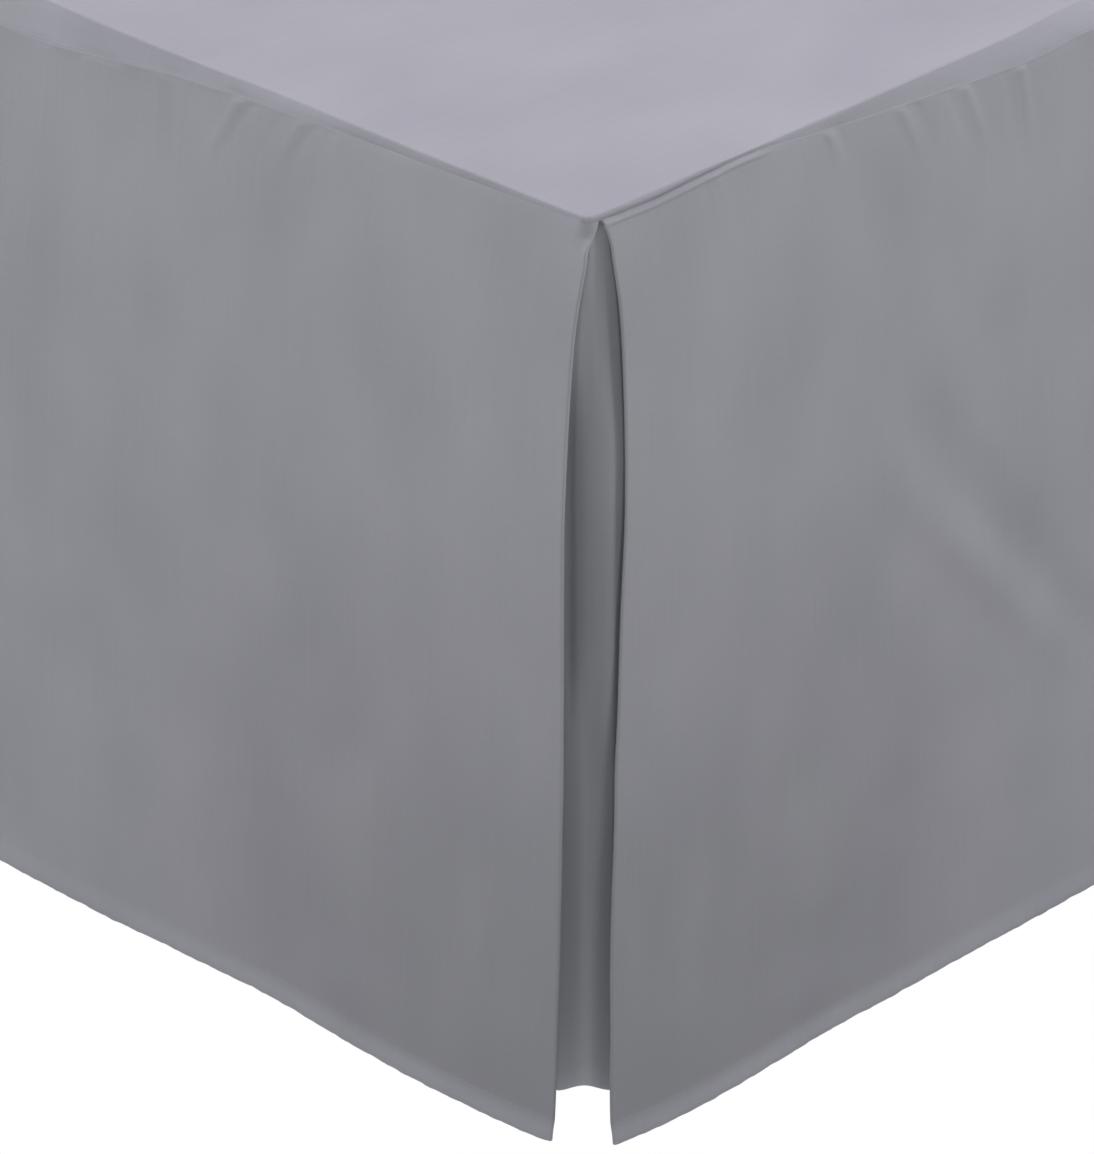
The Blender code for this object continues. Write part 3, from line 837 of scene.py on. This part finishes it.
INSET_HALF_WIDTH = 0.078
INSET_TOP = 0.0028          # depth of its upper edge
INSET_BEHIND = 0.0031       # how far it is behind the face planes at the top
INSET_AHEAD = 0.0008        # how far it is ahead of them at the hem
INSET_BEND = 0.0105         # half width of the hollow in which it crosses the corner
INSET_BACK = 0.0131         # distance from the corner to the bottom of that hollow
INSET_SETTLES = 0.110       # depth at which it has settled into the hollow
INSET_FOLD = (              # a soft fold half way down: how far forward it stands, by place
    (-0.0160, 0.0000), (-0.0120, -0.0015), (-0.0090, -0.0060), (-0.0060, -0.0040),
    (-0.0035, 0.0010), (-0.0005, 0.0055), (0.0025, 0.0074), (0.0060, 0.0078),
    (0.0100, 0.0076), (0.0160, 0.0068), (0.0300, 0.0030), (0.0500, 0.0000))
INSET_DROP = DROP - CLOTH / 2 - HEM_RADIUS
HEM_HOLLOW = 0.0015
HEM_KICK = 0.0009
HEM_DRAWN_IN = 0.00012      # by its stitches
HEM_RIPPLE = 0.00020


def hem_kick(place, depth):
    """The drop hangs a little hollow above its hem, whose doubled cloth turns out below it."""
    hollow = -HEM_HOLLOW * smooth((depth - 0.200) / 0.165)
    kick = HEM_KICK * smooth((depth - (DROP - 0.0125)) / 0.0105)
    stitched = -HEM_DRAWN_IN * ridge((depth - (DROP - 0.0095)) / 0.0030)
    ripple = HEM_RIPPLE * uneven(place, 0.024, 0.5) * smooth((depth - (DROP - 0.012)) / 0.012)
    return hollow + kick + stitched + ripple


half_inset = steps((0.012, 0.0008), (INSET_HALF_WIDTH, 0.003))
inset_w = np.array([-w for w in half_inset[:0:-1]] + half_inset)[:, None]
inset_depth = np.array([INSET_TOP + step for step in
                        steps((0.355 - INSET_TOP, 0.006), (INSET_DROP - INSET_TOP, 0.0017))])[None]
inset_w, inset_depth = np.broadcast_arrays(inset_w, inset_depth)


def inset_plan():
    """Corner-plan points of the inset: round the corner at its top, in a hollow lower down."""
    rounded, out = outline(inset_w)
    rounded = rounded - INSET_BEHIND * out
    reach = np.abs(inset_w)
    bend_x, bend_y = INSET_AHEAD - INSET_BEND * 2 ** 0.5, -INSET_AHEAD
    back = INSET_BACK + ((bend_y - bend_x) / 2 ** 0.5 - INSET_BACK) * smooth(reach / INSET_BEND)
    hollow = np.stack((-reach - back, back - reach), -1) / 2 ** 0.5
    flat = np.stack((bend_x + INSET_BEND - reach, np.full(reach.shape, bend_y)), -1)
    foot = np.where((reach > INSET_BEND)[..., None], flat, hollow)
    side = -foot[..., ::-1]
    settled = np.where((inset_w > 0)[..., None], side, foot)
    return rounded + (settled - rounded) * smooth(inset_depth / INSET_SETTLES)[..., None]


folded = smooth((inset_depth - 0.045) / 0.060) * (1 - smooth((inset_depth - 0.170) / 0.080))
forward = read(INSET_FOLD, inset_w) * folded + 0.6 * hem_kick(inset_w, inset_depth)
inset_points = inset_plan() + 0.707 * np.array((1.0, -1.0)) * forward[..., None]
for hand_name, side in (("right", 1), ("left", -1)):
    points = to_world(side, inset_points, inset_depth)
    looks = np.array((side * 0.7, -0.7, 0.0))
    stitches = sew(f"corner_inset_{hand_name}_stitches", points, looks)
    hem = turned_up(points, looks, HEM_RADIUS, HEM_WIDTH)
    points = np.concatenate((points, hem), 1)
    # An even share of painted shade over the inset
    inset = sheet_from(f"corner_inset_{hand_name}", points, layout_of(points), skirt_cloth, 0.3)
    place_piece(inset, "skirt_cloth", f"inset_{hand_name}")


# ---- Drops -------------------------------------------------------------------------------------
# Three drops hang from the deck's edge, one across the foot and one down each side. Each is turned
# back behind itself at the foot corners and hemmed; the head ends of the side drops are hemmed too.

SEAM_GAP = 0.00005
TUCKED = 0.0008             # how far the drop's upper edge steps in, to lie behind the deck's
SPLIT_HALF = 0.0004         # half of the space between two drops at the top of a corner
UNROLL_DEPTH = 0.014        # depth at which a drop has left the rounded corner for its flat face
BLEND_LENGTH = 0.250        # length over which the fold line's lean fades out along a drop
FOLD_RADIUS = 0.0007        # of a drop's pressed folded edge
BEHIND_TOP = 0.0015         # half of the distance to the cloth turned back, at the seam
BEHIND_HEM = 0.0025         # and lower down
BEHIND_OPENS = 0.100        # depth at which it has opened to that
RETURN_WIDTH = 0.085        # cloth turned back behind the folded edge
RETURN_LOWER = 0.002        # how far its upper edge lies below the front's
CURL = 0.0030               # how far the corner of the hem curls in
CURL_WIDTH = 0.035
HEAD_TURN = 0.0017          # radius of the turn at the head end
PRESSED = 0.15              # share of the hem's radius that is left round the folded edge
THINNER = (SOLID_CLOTH - CLOTH) / 2
BELLY = 0.0030              # how far a drop bellies out half way down
FRONT_START = SPLIT_HALF + FOLD_RADIUS + CLOTH / 2
FOLD_START = {
    "foot": FRONT_START + DECK_CORNER - CORNER_ARC / 2 - SPLIT,
    "side": FRONT_START + DECK_CORNER - CORNER_ARC / 2 + SPLIT,
}
FOLD_LINE = {               # place at which a drop's front meets its folded edge, by depth
    "foot": ((0.000, 0.0010), (0.005, 0.0018), (0.010, 0.0012), (0.016, 0.0008),
             (0.024, 0.0018), (0.034, 0.0033), (0.050, 0.0046), (0.075, 0.0051),
             (0.105, 0.0046), (0.135, 0.0033), (0.165, 0.0011), (0.200, -0.0016),
             (0.240, -0.0042), (0.285, -0.0060), (0.330, -0.0078), (DROP, -0.0094)),
    "side": ((0.000, 0.0143), (0.005, 0.0138), (0.010, 0.0129), (0.016, 0.0132),
             (0.024, 0.0141), (0.034, 0.0153), (0.050, 0.0159), (0.075, 0.0155),
             (0.105, 0.0137), (0.135, 0.0104), (0.165, 0.0064), (0.200, 0.0025),
             (0.240, -0.0024), (0.285, -0.0070), (0.330, -0.0105), (DROP, -0.0137)),
}

# A soft fold: its place at the deck and at the hem, its half width, how far it stands out (or in,
# below 0), and the depths at which it starts, is full and has died out
Fold = namedtuple("Fold", "top hem width height start full end")
CORNER_FOLDS = {
    "foot": (
        Fold(0.060, 0.062, 0.050, 0.0014, 0.120, 0.360, 0.900),
        Fold(0.086, 0.052, 0.016, -0.0012, 0.215, 0.310, 0.400),
        Fold(0.120, 0.152, 0.055, -0.0030, 0.160, 0.380, 0.900),
        Fold(0.215, 0.205, 0.045, -0.0016, 0.200, 0.380, 0.900),
        Fold(0.301, 0.303, 0.024, 0.0030, 0.020, 0.120, 0.330),
    ),
    "side": (
        Fold(0.060, 0.060, 0.050, 0.0014, 0.120, 0.360, 0.900),
        Fold(0.086, 0.050, 0.016, -0.0012, 0.215, 0.310, 0.400),
        Fold(0.118, 0.128, 0.036, -0.0009, 0.220, 0.380, 0.900),
        Fold(0.290, 0.295, 0.110, 0.0012, 0.100, 0.380, 0.900),
        Fold(0.078, 0.350, 0.028, -0.0024, 0.080, 0.190, 0.330),
        Fold(0.016, 0.362, 0.024, 0.0018, 0.120, 0.220, 0.320),
    ),
}

# A dent in the hanging cloth: its place and depth, its half width and half height, and how deep
Dent = namedtuple("Dent", "place depth width height dented")
DENTS = {
    "foot": (Dent(0.113, 0.258, 0.028, 0.030, 0.0022), Dent(0.175, 0.302, 0.020, 0.018, 0.0012),
             Dent(0.108, 0.335, 0.034, 0.026, 0.0020), Dent(0.046, 0.300, 0.014, 0.040, 0.0016),
             Dent(0.016, 0.215, 0.018, 0.035, 0.0014), Dent(0.023, 0.318, 0.012, 0.030, 0.0010)),
    "side": (Dent(0.019, 0.218, 0.016, 0.026, 0.0014), Dent(0.026, 0.298, 0.014, 0.034, 0.0014),
             Dent(0.101, 0.268, 0.024, 0.026, 0.0018), Dent(0.112, 0.338, 0.030, 0.024, 0.0020),
             Dent(0.162, 0.298, 0.024, 0.024, 0.0014)),
}

# A pucker under the seam: a small tuck that fades out down the cloth. Its place, how far it
# drifts over its length, that length, its half width and its height
Pucker = namedtuple("Pucker", "place drift length width height")
PUCKERS = {
    "foot": (
        Pucker(0.128, 0.003, 0.012, 0.0026, 0.00046),
        Pucker(0.134, 0.003, 0.014, 0.0026, -0.00033),
        Pucker(0.142, 0.018, 0.034, 0.0045, -0.00039),
        Pucker(0.149, 0.019, 0.036, 0.0045, 0.00065),
        Pucker(0.160, 0.020, 0.036, 0.0045, -0.00039),
        Pucker(0.176, 0.024, 0.038, 0.0045, -0.00046),
        Pucker(0.183, 0.024, 0.040, 0.0045, 0.00072),
        Pucker(0.221, 0.000, 0.046, 0.0045, -0.00039),
        Pucker(0.229, -0.001, 0.048, 0.0045, 0.00059),
        Pucker(0.268, 0.005, 0.030, 0.0065, 0.00039),
    ),
    "side": (
        Pucker(0.068, 0.002, 0.016, 0.0026, 0.00033),
        Pucker(0.061, -0.002, 0.034, 0.0030, -0.00026),
        Pucker(0.130, 0.006, 0.020, 0.0028, 0.00084),
        Pucker(0.136, 0.006, 0.020, 0.0028, -0.00052),
        Pucker(0.171, 0.017, 0.036, 0.0045, 0.00065),
        Pucker(0.180, 0.016, 0.034, 0.0045, -0.00039),
        Pucker(0.200, 0.018, 0.042, 0.0045, -0.00039),
        Pucker(0.209, 0.019, 0.046, 0.0045, 0.00072),
        Pucker(0.234, 0.008, 0.048, 0.0045, -0.00046),
        Pucker(0.243, 0.007, 0.052, 0.0042, 0.00078),
    ),
}
FLUTES_FROM = 0.440         # shallow uneven flutes along the rest of a drop
FLUTE_PITCH = 0.185
FLUTE_HEIGHT = 0.0036
FLUTE_START = 0.015
FLUTE_FULL = 0.330


def flutes(length, phase):
    for i in range(int((length - FLUTES_FROM) / FLUTE_PITCH)):
        place = FLUTES_FROM + FLUTE_PITCH * (i + 0.22 * sin(2.3 * i + phase))
        height = FLUTE_HEIGHT * (0.75 + 0.35 * sin(1.7 * i + 2 * phase))
        drift = 0.020 * sin(1.1 * i + phase)
        yield Fold(place, place + drift, 0.42 * FLUTE_PITCH, height, FLUTE_START, FLUTE_FULL, 0.9)


def small_puckers(start, end, seed):
    """Puckers along a plain stretch of seam, uneven in place and size."""
    dice = np.random.default_rng(seed)
    place = start
    while place < end:
        sign = 1 if dice.random() < 0.6 else -1
        yield Pucker(place, dice.uniform(-0.006, 0.006), dice.uniform(0.020, 0.045),
                     dice.uniform(0.009, 0.014), sign * dice.uniform(0.0002, 0.0006))
        place += dice.uniform(0.018, 0.045)


def folds_out(folds, place, depth):
    out = np.zeros(np.broadcast(place, depth).shape)
    for fold in folds:
        middle = fold.top + (fold.hem - fold.top) * depth / DROP
        grown = smooth((depth - fold.start) / (fold.full - fold.start))
        left = 1 - smooth((depth - fold.full) / (fold.end - fold.full))
        out += fold.height * ridge((place - middle) / fold.width) * grown * left
    return out


def dents_in(dents, place, depth):
    deep = np.zeros(np.broadcast(place, depth).shape)
    for dent in dents:
        deep += (dent.dented * ridge((place - dent.place) / dent.width)
                 * ridge((depth - dent.depth) / dent.height))
    return deep


def puckers_out(puckers, place, below_seam):
    out = np.zeros(np.broadcast(place, below_seam).shape)
    for pucker in puckers:
        share = below_seam / pucker.length
        middle = pucker.place + pucker.drift * share
        faded = smooth(below_seam / 0.0025) * (1 - smooth(share))
        out += pucker.height * ridge((place - middle) / pucker.width) * faded
    return out


def swells(place, depth):
    """The low uneven swells of plain hanging cloth."""
    slanting = uneven(place + 0.40 * depth, 0.130, 0.9) * (0.6 + 0.4 * uneven(depth, 0.21, 2.0))
    level = uneven(depth - 0.25 * place, 0.120, 1.7) * (0.6 + 0.4 * uneven(place, 0.19, 0.3))
    return (0.00040 * slanting + 0.00030 * level) * smooth((depth - 0.01) / 0.08)


def cloth_to_hem(panel, place):
    """Length of cloth from the flat of the deck to where the hem turns under."""
    radius = read(SHOULDER[panel], place)
    turned = pi / 2 - LEAN
    straight = DECK_MIDDLE - HEM_CLEARANCE - HEM_RADIUS - CLOTH / 2 - radius * (1 - cos(turned))
    return radius * turned + straight / cos(LEAN)


# Columns of a panel: the corner each is measured from, its distance from the folded edge, its
# place among the folds, and how far it has turned round that edge (0 front, pi turned back)
def panel_columns(side, length, fold_place):
    back = (RETURN_WIDTH, 0.060, 0.040, 0.025, 0.015, 0.010, 0.0065, 0.003)
    columns = [(side, u, fold_place(u), pi) for u in back]
    columns += [(side, 0.0, fold_place(0.0), pi * (1 - i / 10)) for i in range(10)]
    front = steps((0.012, 0.0012), (0.300, 0.0019), (length, 0.0080))
    return columns + [(side, u, fold_place(u), 0.0) for u in front]


def hem_radius(columns, extra):
    """Radius of the hem's turn by column: round the folded edge it's pressed nearly flat."""
    u, turn = (np.array([column[i] for column in columns]) for i in (1, 3))
    room = np.where(turn > 0, smooth((u - 0.003) / 0.0035), smooth(u / 0.003))
    return np.append(HEM_RADIUS * (PRESSED + (1 - PRESSED) * room), [HEM_RADIUS] * extra)


def drop_points(panel, columns, folds, dents, puckers, cloth_share):
    """World points of a drop: columns by shares of the cloth from the seam to the hem's turn."""
    side, u, fold_place, turn = (np.array(v)[:, None] for v in zip(*columns))
    place = u + FOLD_START[panel]
    to_seam = cloth_to_seam(panel, place)
    start = to_seam + SEAM_GAP + RETURN_LOWER * np.sin(turn / 2)
    hem_edge = cloth_to_hem(panel, place) + 0.00022 * uneven(fold_place, 0.012, 2.6)
    cloth = start + cloth_share[None, :] * (hem_edge - start)
    below_seam = cloth - to_seam
    raised = (groove(panel, place, below_seam) + puckers_out(puckers, fold_place, below_seam)
              + THINNER * smooth(below_seam / 0.012) - TUCKED * smooth(-below_seam / 0.0003)
              - read(SLOPED[panel], place) * np.exp(-below_seam.clip(0.0) / SLOPE_LENGTH))
    out, depth = over_edge(read(SHOULDER[panel], place), cloth, raised)
    out = out + folds_out(folds, fold_place, depth) + hem_kick(fold_place, depth)
    out = out - dents_in(dents, fold_place, depth)
    belly = 4 * BELLY * (depth / DROP) * (1 - depth / DROP)
    out = out + swells(fold_place, depth) + belly
    out = out - CURL * np.clip(1 - u / CURL_WIDTH, 0.0, None) ** 2 * depth / DROP

    # On the rounded corner at the top, and in one flat face with a leaning end below
    along = 1 if panel == "side" else -1
    w = np.broadcast_to(SPLIT + along * (FRONT_START + u), out.shape)
    rolled, rolled_out = outline(w)
    fold_line = read(FOLD_LINE[panel], depth) - belly
    flat_place = u + fold_line + (FOLD_START[panel] - fold_line) * smooth(u / BLEND_LENGTH)
    zero = np.zeros(out.shape)
    flat = np.stack((zero, flat_place) if panel == "side" else (-flat_place, zero), -1)
    flat_out = np.array((1.0, 0.0) if panel == "side" else (0.0, -1.0))
    unrolled = smooth(depth / UNROLL_DEPTH)[..., None]
    outward = rolled_out + (flat_out - rolled_out) * unrolled
    outward = unit(outward)
    point = rolled + (flat - rolled) * unrolled + outward * out[..., None]

    # Round the folded edge, and apart behind it
    behind = BEHIND_TOP + (BEHIND_HEM - BEHIND_TOP) * smooth(depth / BEHIND_OPENS)
    radius = FOLD_RADIUS + (behind - FOLD_RADIUS) * smooth(u / 0.014)
    past_edge = -along * np.stack((-outward[..., 1], outward[..., 0]), -1)
    angle = np.broadcast_to(turn, out.shape)[..., None]
    point = point + (radius[..., None] * (np.cos(angle) - 1) * outward
                     + FOLD_RADIUS * np.sin(angle) * past_edge)
    return to_world(side, point, depth)


drop_shares = np.array([-0.0016, -0.0009, -0.0003]
                       + steps((0.0036, 0.0004), (0.0072, 0.0009), (0.026, 0.0024),
                               (0.350, 0.0062), (DROP, 0.0018))) / DROP


def add_drop(name, panel, columns, folds, dents, puckers, facing):
    """A drop with its rows of stitches."""
    points = drop_points(panel, columns, folds, dents, puckers, drop_shares)
    stitches = [sew(f"{name}_hem_stitches", points, facing)]
    if panel == "side":     # the hem down the head end is turned back first
        stitches.append(sew(f"{name}_head_stitches", points[-12:].swapaxes(0, 1), facing))
        side_hem = turned_up(points[-12:].swapaxes(0, 1), facing, HEAD_TURN, HEM_WIDTH)
        points = np.concatenate((points, side_hem.swapaxes(0, 1)), 0)
    radius = hem_radius(columns, len(points) - len(columns))
    points = np.concatenate((points, turned_up(points, facing, radius, HEM_WIDTH)), 1)
    # Painted shade: an even share up high; lower down it grows towards the foot corners and fades
    # away far from them
    from_split = np.minimum(*(np.hypot(points[..., 0] - side * FACE_X, points[..., 1] - FACE_Y)
                              for side in (-1, 1)))
    near = 0.7 * (1 - smooth((from_split - 0.04) / 0.25)) - 0.3 * smooth((from_split - 0.12) / 0.2)
    painted_shade = 0.3 + near * smooth((DECK_MIDDLE - points[..., 2] - 0.10) / 0.22)
    return sheet_from(name, points, layout_of(points), skirt_cloth, painted_shade), stitches


half_foot = FOOT_LENGTH / 2 - FOLD_START["foot"]
side_length = SIDE_LENGTH - FOLD_START["side"] - HEAD_TURN
from_right = panel_columns(1, half_foot, lambda u: u + FOLD_START["foot"])
from_left = panel_columns(-1, half_foot, lambda u: FOOT_LENGTH - u - FOLD_START["foot"])
DROPS = {
    "foot": ("foot", from_right + from_left[-2::-1],
             CORNER_FOLDS["foot"] + tuple(flutes(FOOT_LENGTH, 0.4)), DENTS["foot"],
             PUCKERS["foot"] + tuple(small_puckers(0.300, FOOT_LENGTH - 0.03, 11)),
             np.array((0.0, -1.0, 0.0)), (1.715, 0.392)),
    "right": ("side", panel_columns(1, side_length, lambda u: u + FOLD_START["side"]),
              CORNER_FOLDS["side"] + tuple(flutes(SIDE_LENGTH, 1.3)), DENTS["side"],
              PUCKERS["side"] + tuple(small_puckers(0.290, SIDE_LENGTH, 12)),
              np.array((1.0, 0.0, 0.0)), (2.130, 0.392)),
    "left": ("side", panel_columns(-1, side_length, lambda u: u + FOLD_START["side"]),
             tuple(flutes(SIDE_LENGTH, 2.6)), (), tuple(small_puckers(0.030, SIDE_LENGTH, 13)),
             np.array((-1.0, 0.0, 0.0)), (2.130, 0.392)),
}
for drop_name, (panel, columns, folds, dents, puckers, facing, flat_size) in DROPS.items():
    drop, stitches = add_drop(f"{drop_name}_drop", panel, columns, folds, dents, puckers, facing)
    place_piece(drop, "skirt_cloth", f"drop_{drop_name}")
    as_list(stitches)


# ---- Floor and lights --------------------------------------------------------------------------
# A plain pale studio: a very large white floor that glows softly, and light from above and in
# front.

FLOOR_LIGHT = 0.47          # of the white floor on the object
WORLD_LIGHT = 0.03          # of the white surroundings on it


def glow(tree, socket, strength):
    """Plain white to the camera, and a light of some strength to all else."""
    seen = node(tree, "ShaderNodeLightPath").outputs["Is Camera Ray"]
    link(tree, sum_of(tree, "MAXIMUM", seen, strength), socket)


bpy.ops.mesh.primitive_plane_add(size=400.0, location=(0.0, 0.0, 0.0))
floor = bpy.context.object
floor.name = "studio_floor"
floor_white, floor_tree, floor_shader = new_material("floor_white")
floor_shader.inputs["Base Color"].default_value = (0.0, 0.0, 0.0, 1.0)
floor_shader.inputs["Roughness"].default_value = 1.0
floor_shader.inputs["Specular IOR Level"].default_value = 0.0
floor_shader.inputs["Emission Color"].default_value = (1.0, 1.0, 1.0, 1.0)
glow(floor_tree, floor_shader.inputs["Emission Strength"], FLOOR_LIGHT)
floor.data.materials.append(floor_white)

world = bpy.data.worlds.new("studio_light")
bpy.context.scene.world = world
world.use_nodes = True
sky = world.node_tree.nodes["Background"]
sky.inputs["Color"].default_value = (1.0, 1.0, 1.0, 1.0)
glow(world.node_tree, sky.inputs["Strength"], WORLD_LIGHT)


def add_light(name, place, aim, size, power, colour=(1.0, 1.0, 1.0)):
    """A round soft light that isn't seen itself."""
    lamp = bpy.data.lights.new(name, "AREA")
    lamp.shape = "DISK"
    lamp.size = size
    lamp.energy = power
    lamp.color = colour
    made = add_object(name, lamp)
    made.location = place
    made.rotation_euler = (Vector(aim) - Vector(place)).to_track_quat("-Z", "Y").to_euler()
    made.visible_camera = False


# Their name, place, aim, size and power
COOLER = (1.0, 1.068, 0.94)
CORNER_LOW = (0.77, -1.00, 0.22)
for light in (
        # Near the right foot corner: three low in front, and two over each of its two drops
        ("corner_front", (2.50, -2.79, 0.44), CORNER_LOW, 0.9, 10.1, COOLER),
        ("corner_left", (2.09, -3.11, 0.48), CORNER_LOW, 0.3, 4.7, COOLER),
        ("corner_right", (2.71, -2.52, 0.65), CORNER_LOW, 0.3, 8.8, COOLER),
        ("corner_over_foot", (0.29, -1.28, 1.40), CORNER_LOW, 0.7, 6.5),
        ("corner_over_side", (1.04, -0.53, 1.40), CORNER_LOW, 0.7, 7.8),
        ("foot_near", (-0.10, -1.60, 1.00), (0.30, -1.00, 0.25), 0.5, 3.1),
        ("side_near", (1.37, -0.13, 1.00), (0.77, -0.53, 0.25), 0.5, 2.9),
        # Round the rest of the bed
        ("over_head", (-0.10, 0.90, 2.80), (-0.10, 0.90, 0.0), 2.6, 13.0),
        ("head_front", (0.30, 4.20, 0.90), (0.0, 1.0, 0.2), 1.6, 34.0),
        ("left_front", (-3.90, 0.30, 0.90), (-0.77, 0.1, 0.2), 1.8, 34.0),
        ("foot_front", (-1.60, -3.40, 0.80), (-0.60, -1.0, 0.2), 1.4, 14.0),
        ("side_front", (3.30, 1.90, 0.80), (0.77, 0.7, 0.2), 1.4, 14.0)):
    add_light(*light)
bpy.context.scene.view_settings.view_transform = "Standard"


# ---- Camera ------------------------------------------------------------------------------------
# It looks down on the right foot corner from a little way off, with a long lens.

AZIMUTH = radians(44.13)    # from looking along +Y, round to the right
ELEVATION = radians(27.48)
RIGHT_OF_CORNER = 1.56142
BEFORE_CORNER = 1.63096
ABOVE_FLOOR = 1.41202
SENSOR = 36.0
FOCAL_LENGTH = 6737.0       # in pixels, for a frame FRAME_HEIGHT pixels high
FRAME_HEIGHT = 1154.0
camera_place = Vector((FACE_X + RIGHT_OF_CORNER, FACE_Y - BEFORE_CORNER, ABOVE_FLOOR))
backward = Vector((sin(AZIMUTH) * cos(ELEVATION), -cos(AZIMUTH) * cos(ELEVATION), sin(ELEVATION)))
rightward = Vector((cos(AZIMUTH), sin(AZIMUTH), 0.0))
upward = backward.cross(rightward)
camera = bpy.data.cameras.new("camera")
camera.sensor_width = SENSOR
camera.lens = SENSOR * FOCAL_LENGTH / FRAME_HEIGHT
camera.clip_end = 50.0
viewer = add_object("camera", camera)
viewer.matrix_world = Matrix.Translation(camera_place) @ Matrix(
    (rightward, upward, backward)).transposed().to_4x4()
bpy.context.scene.camera = viewer
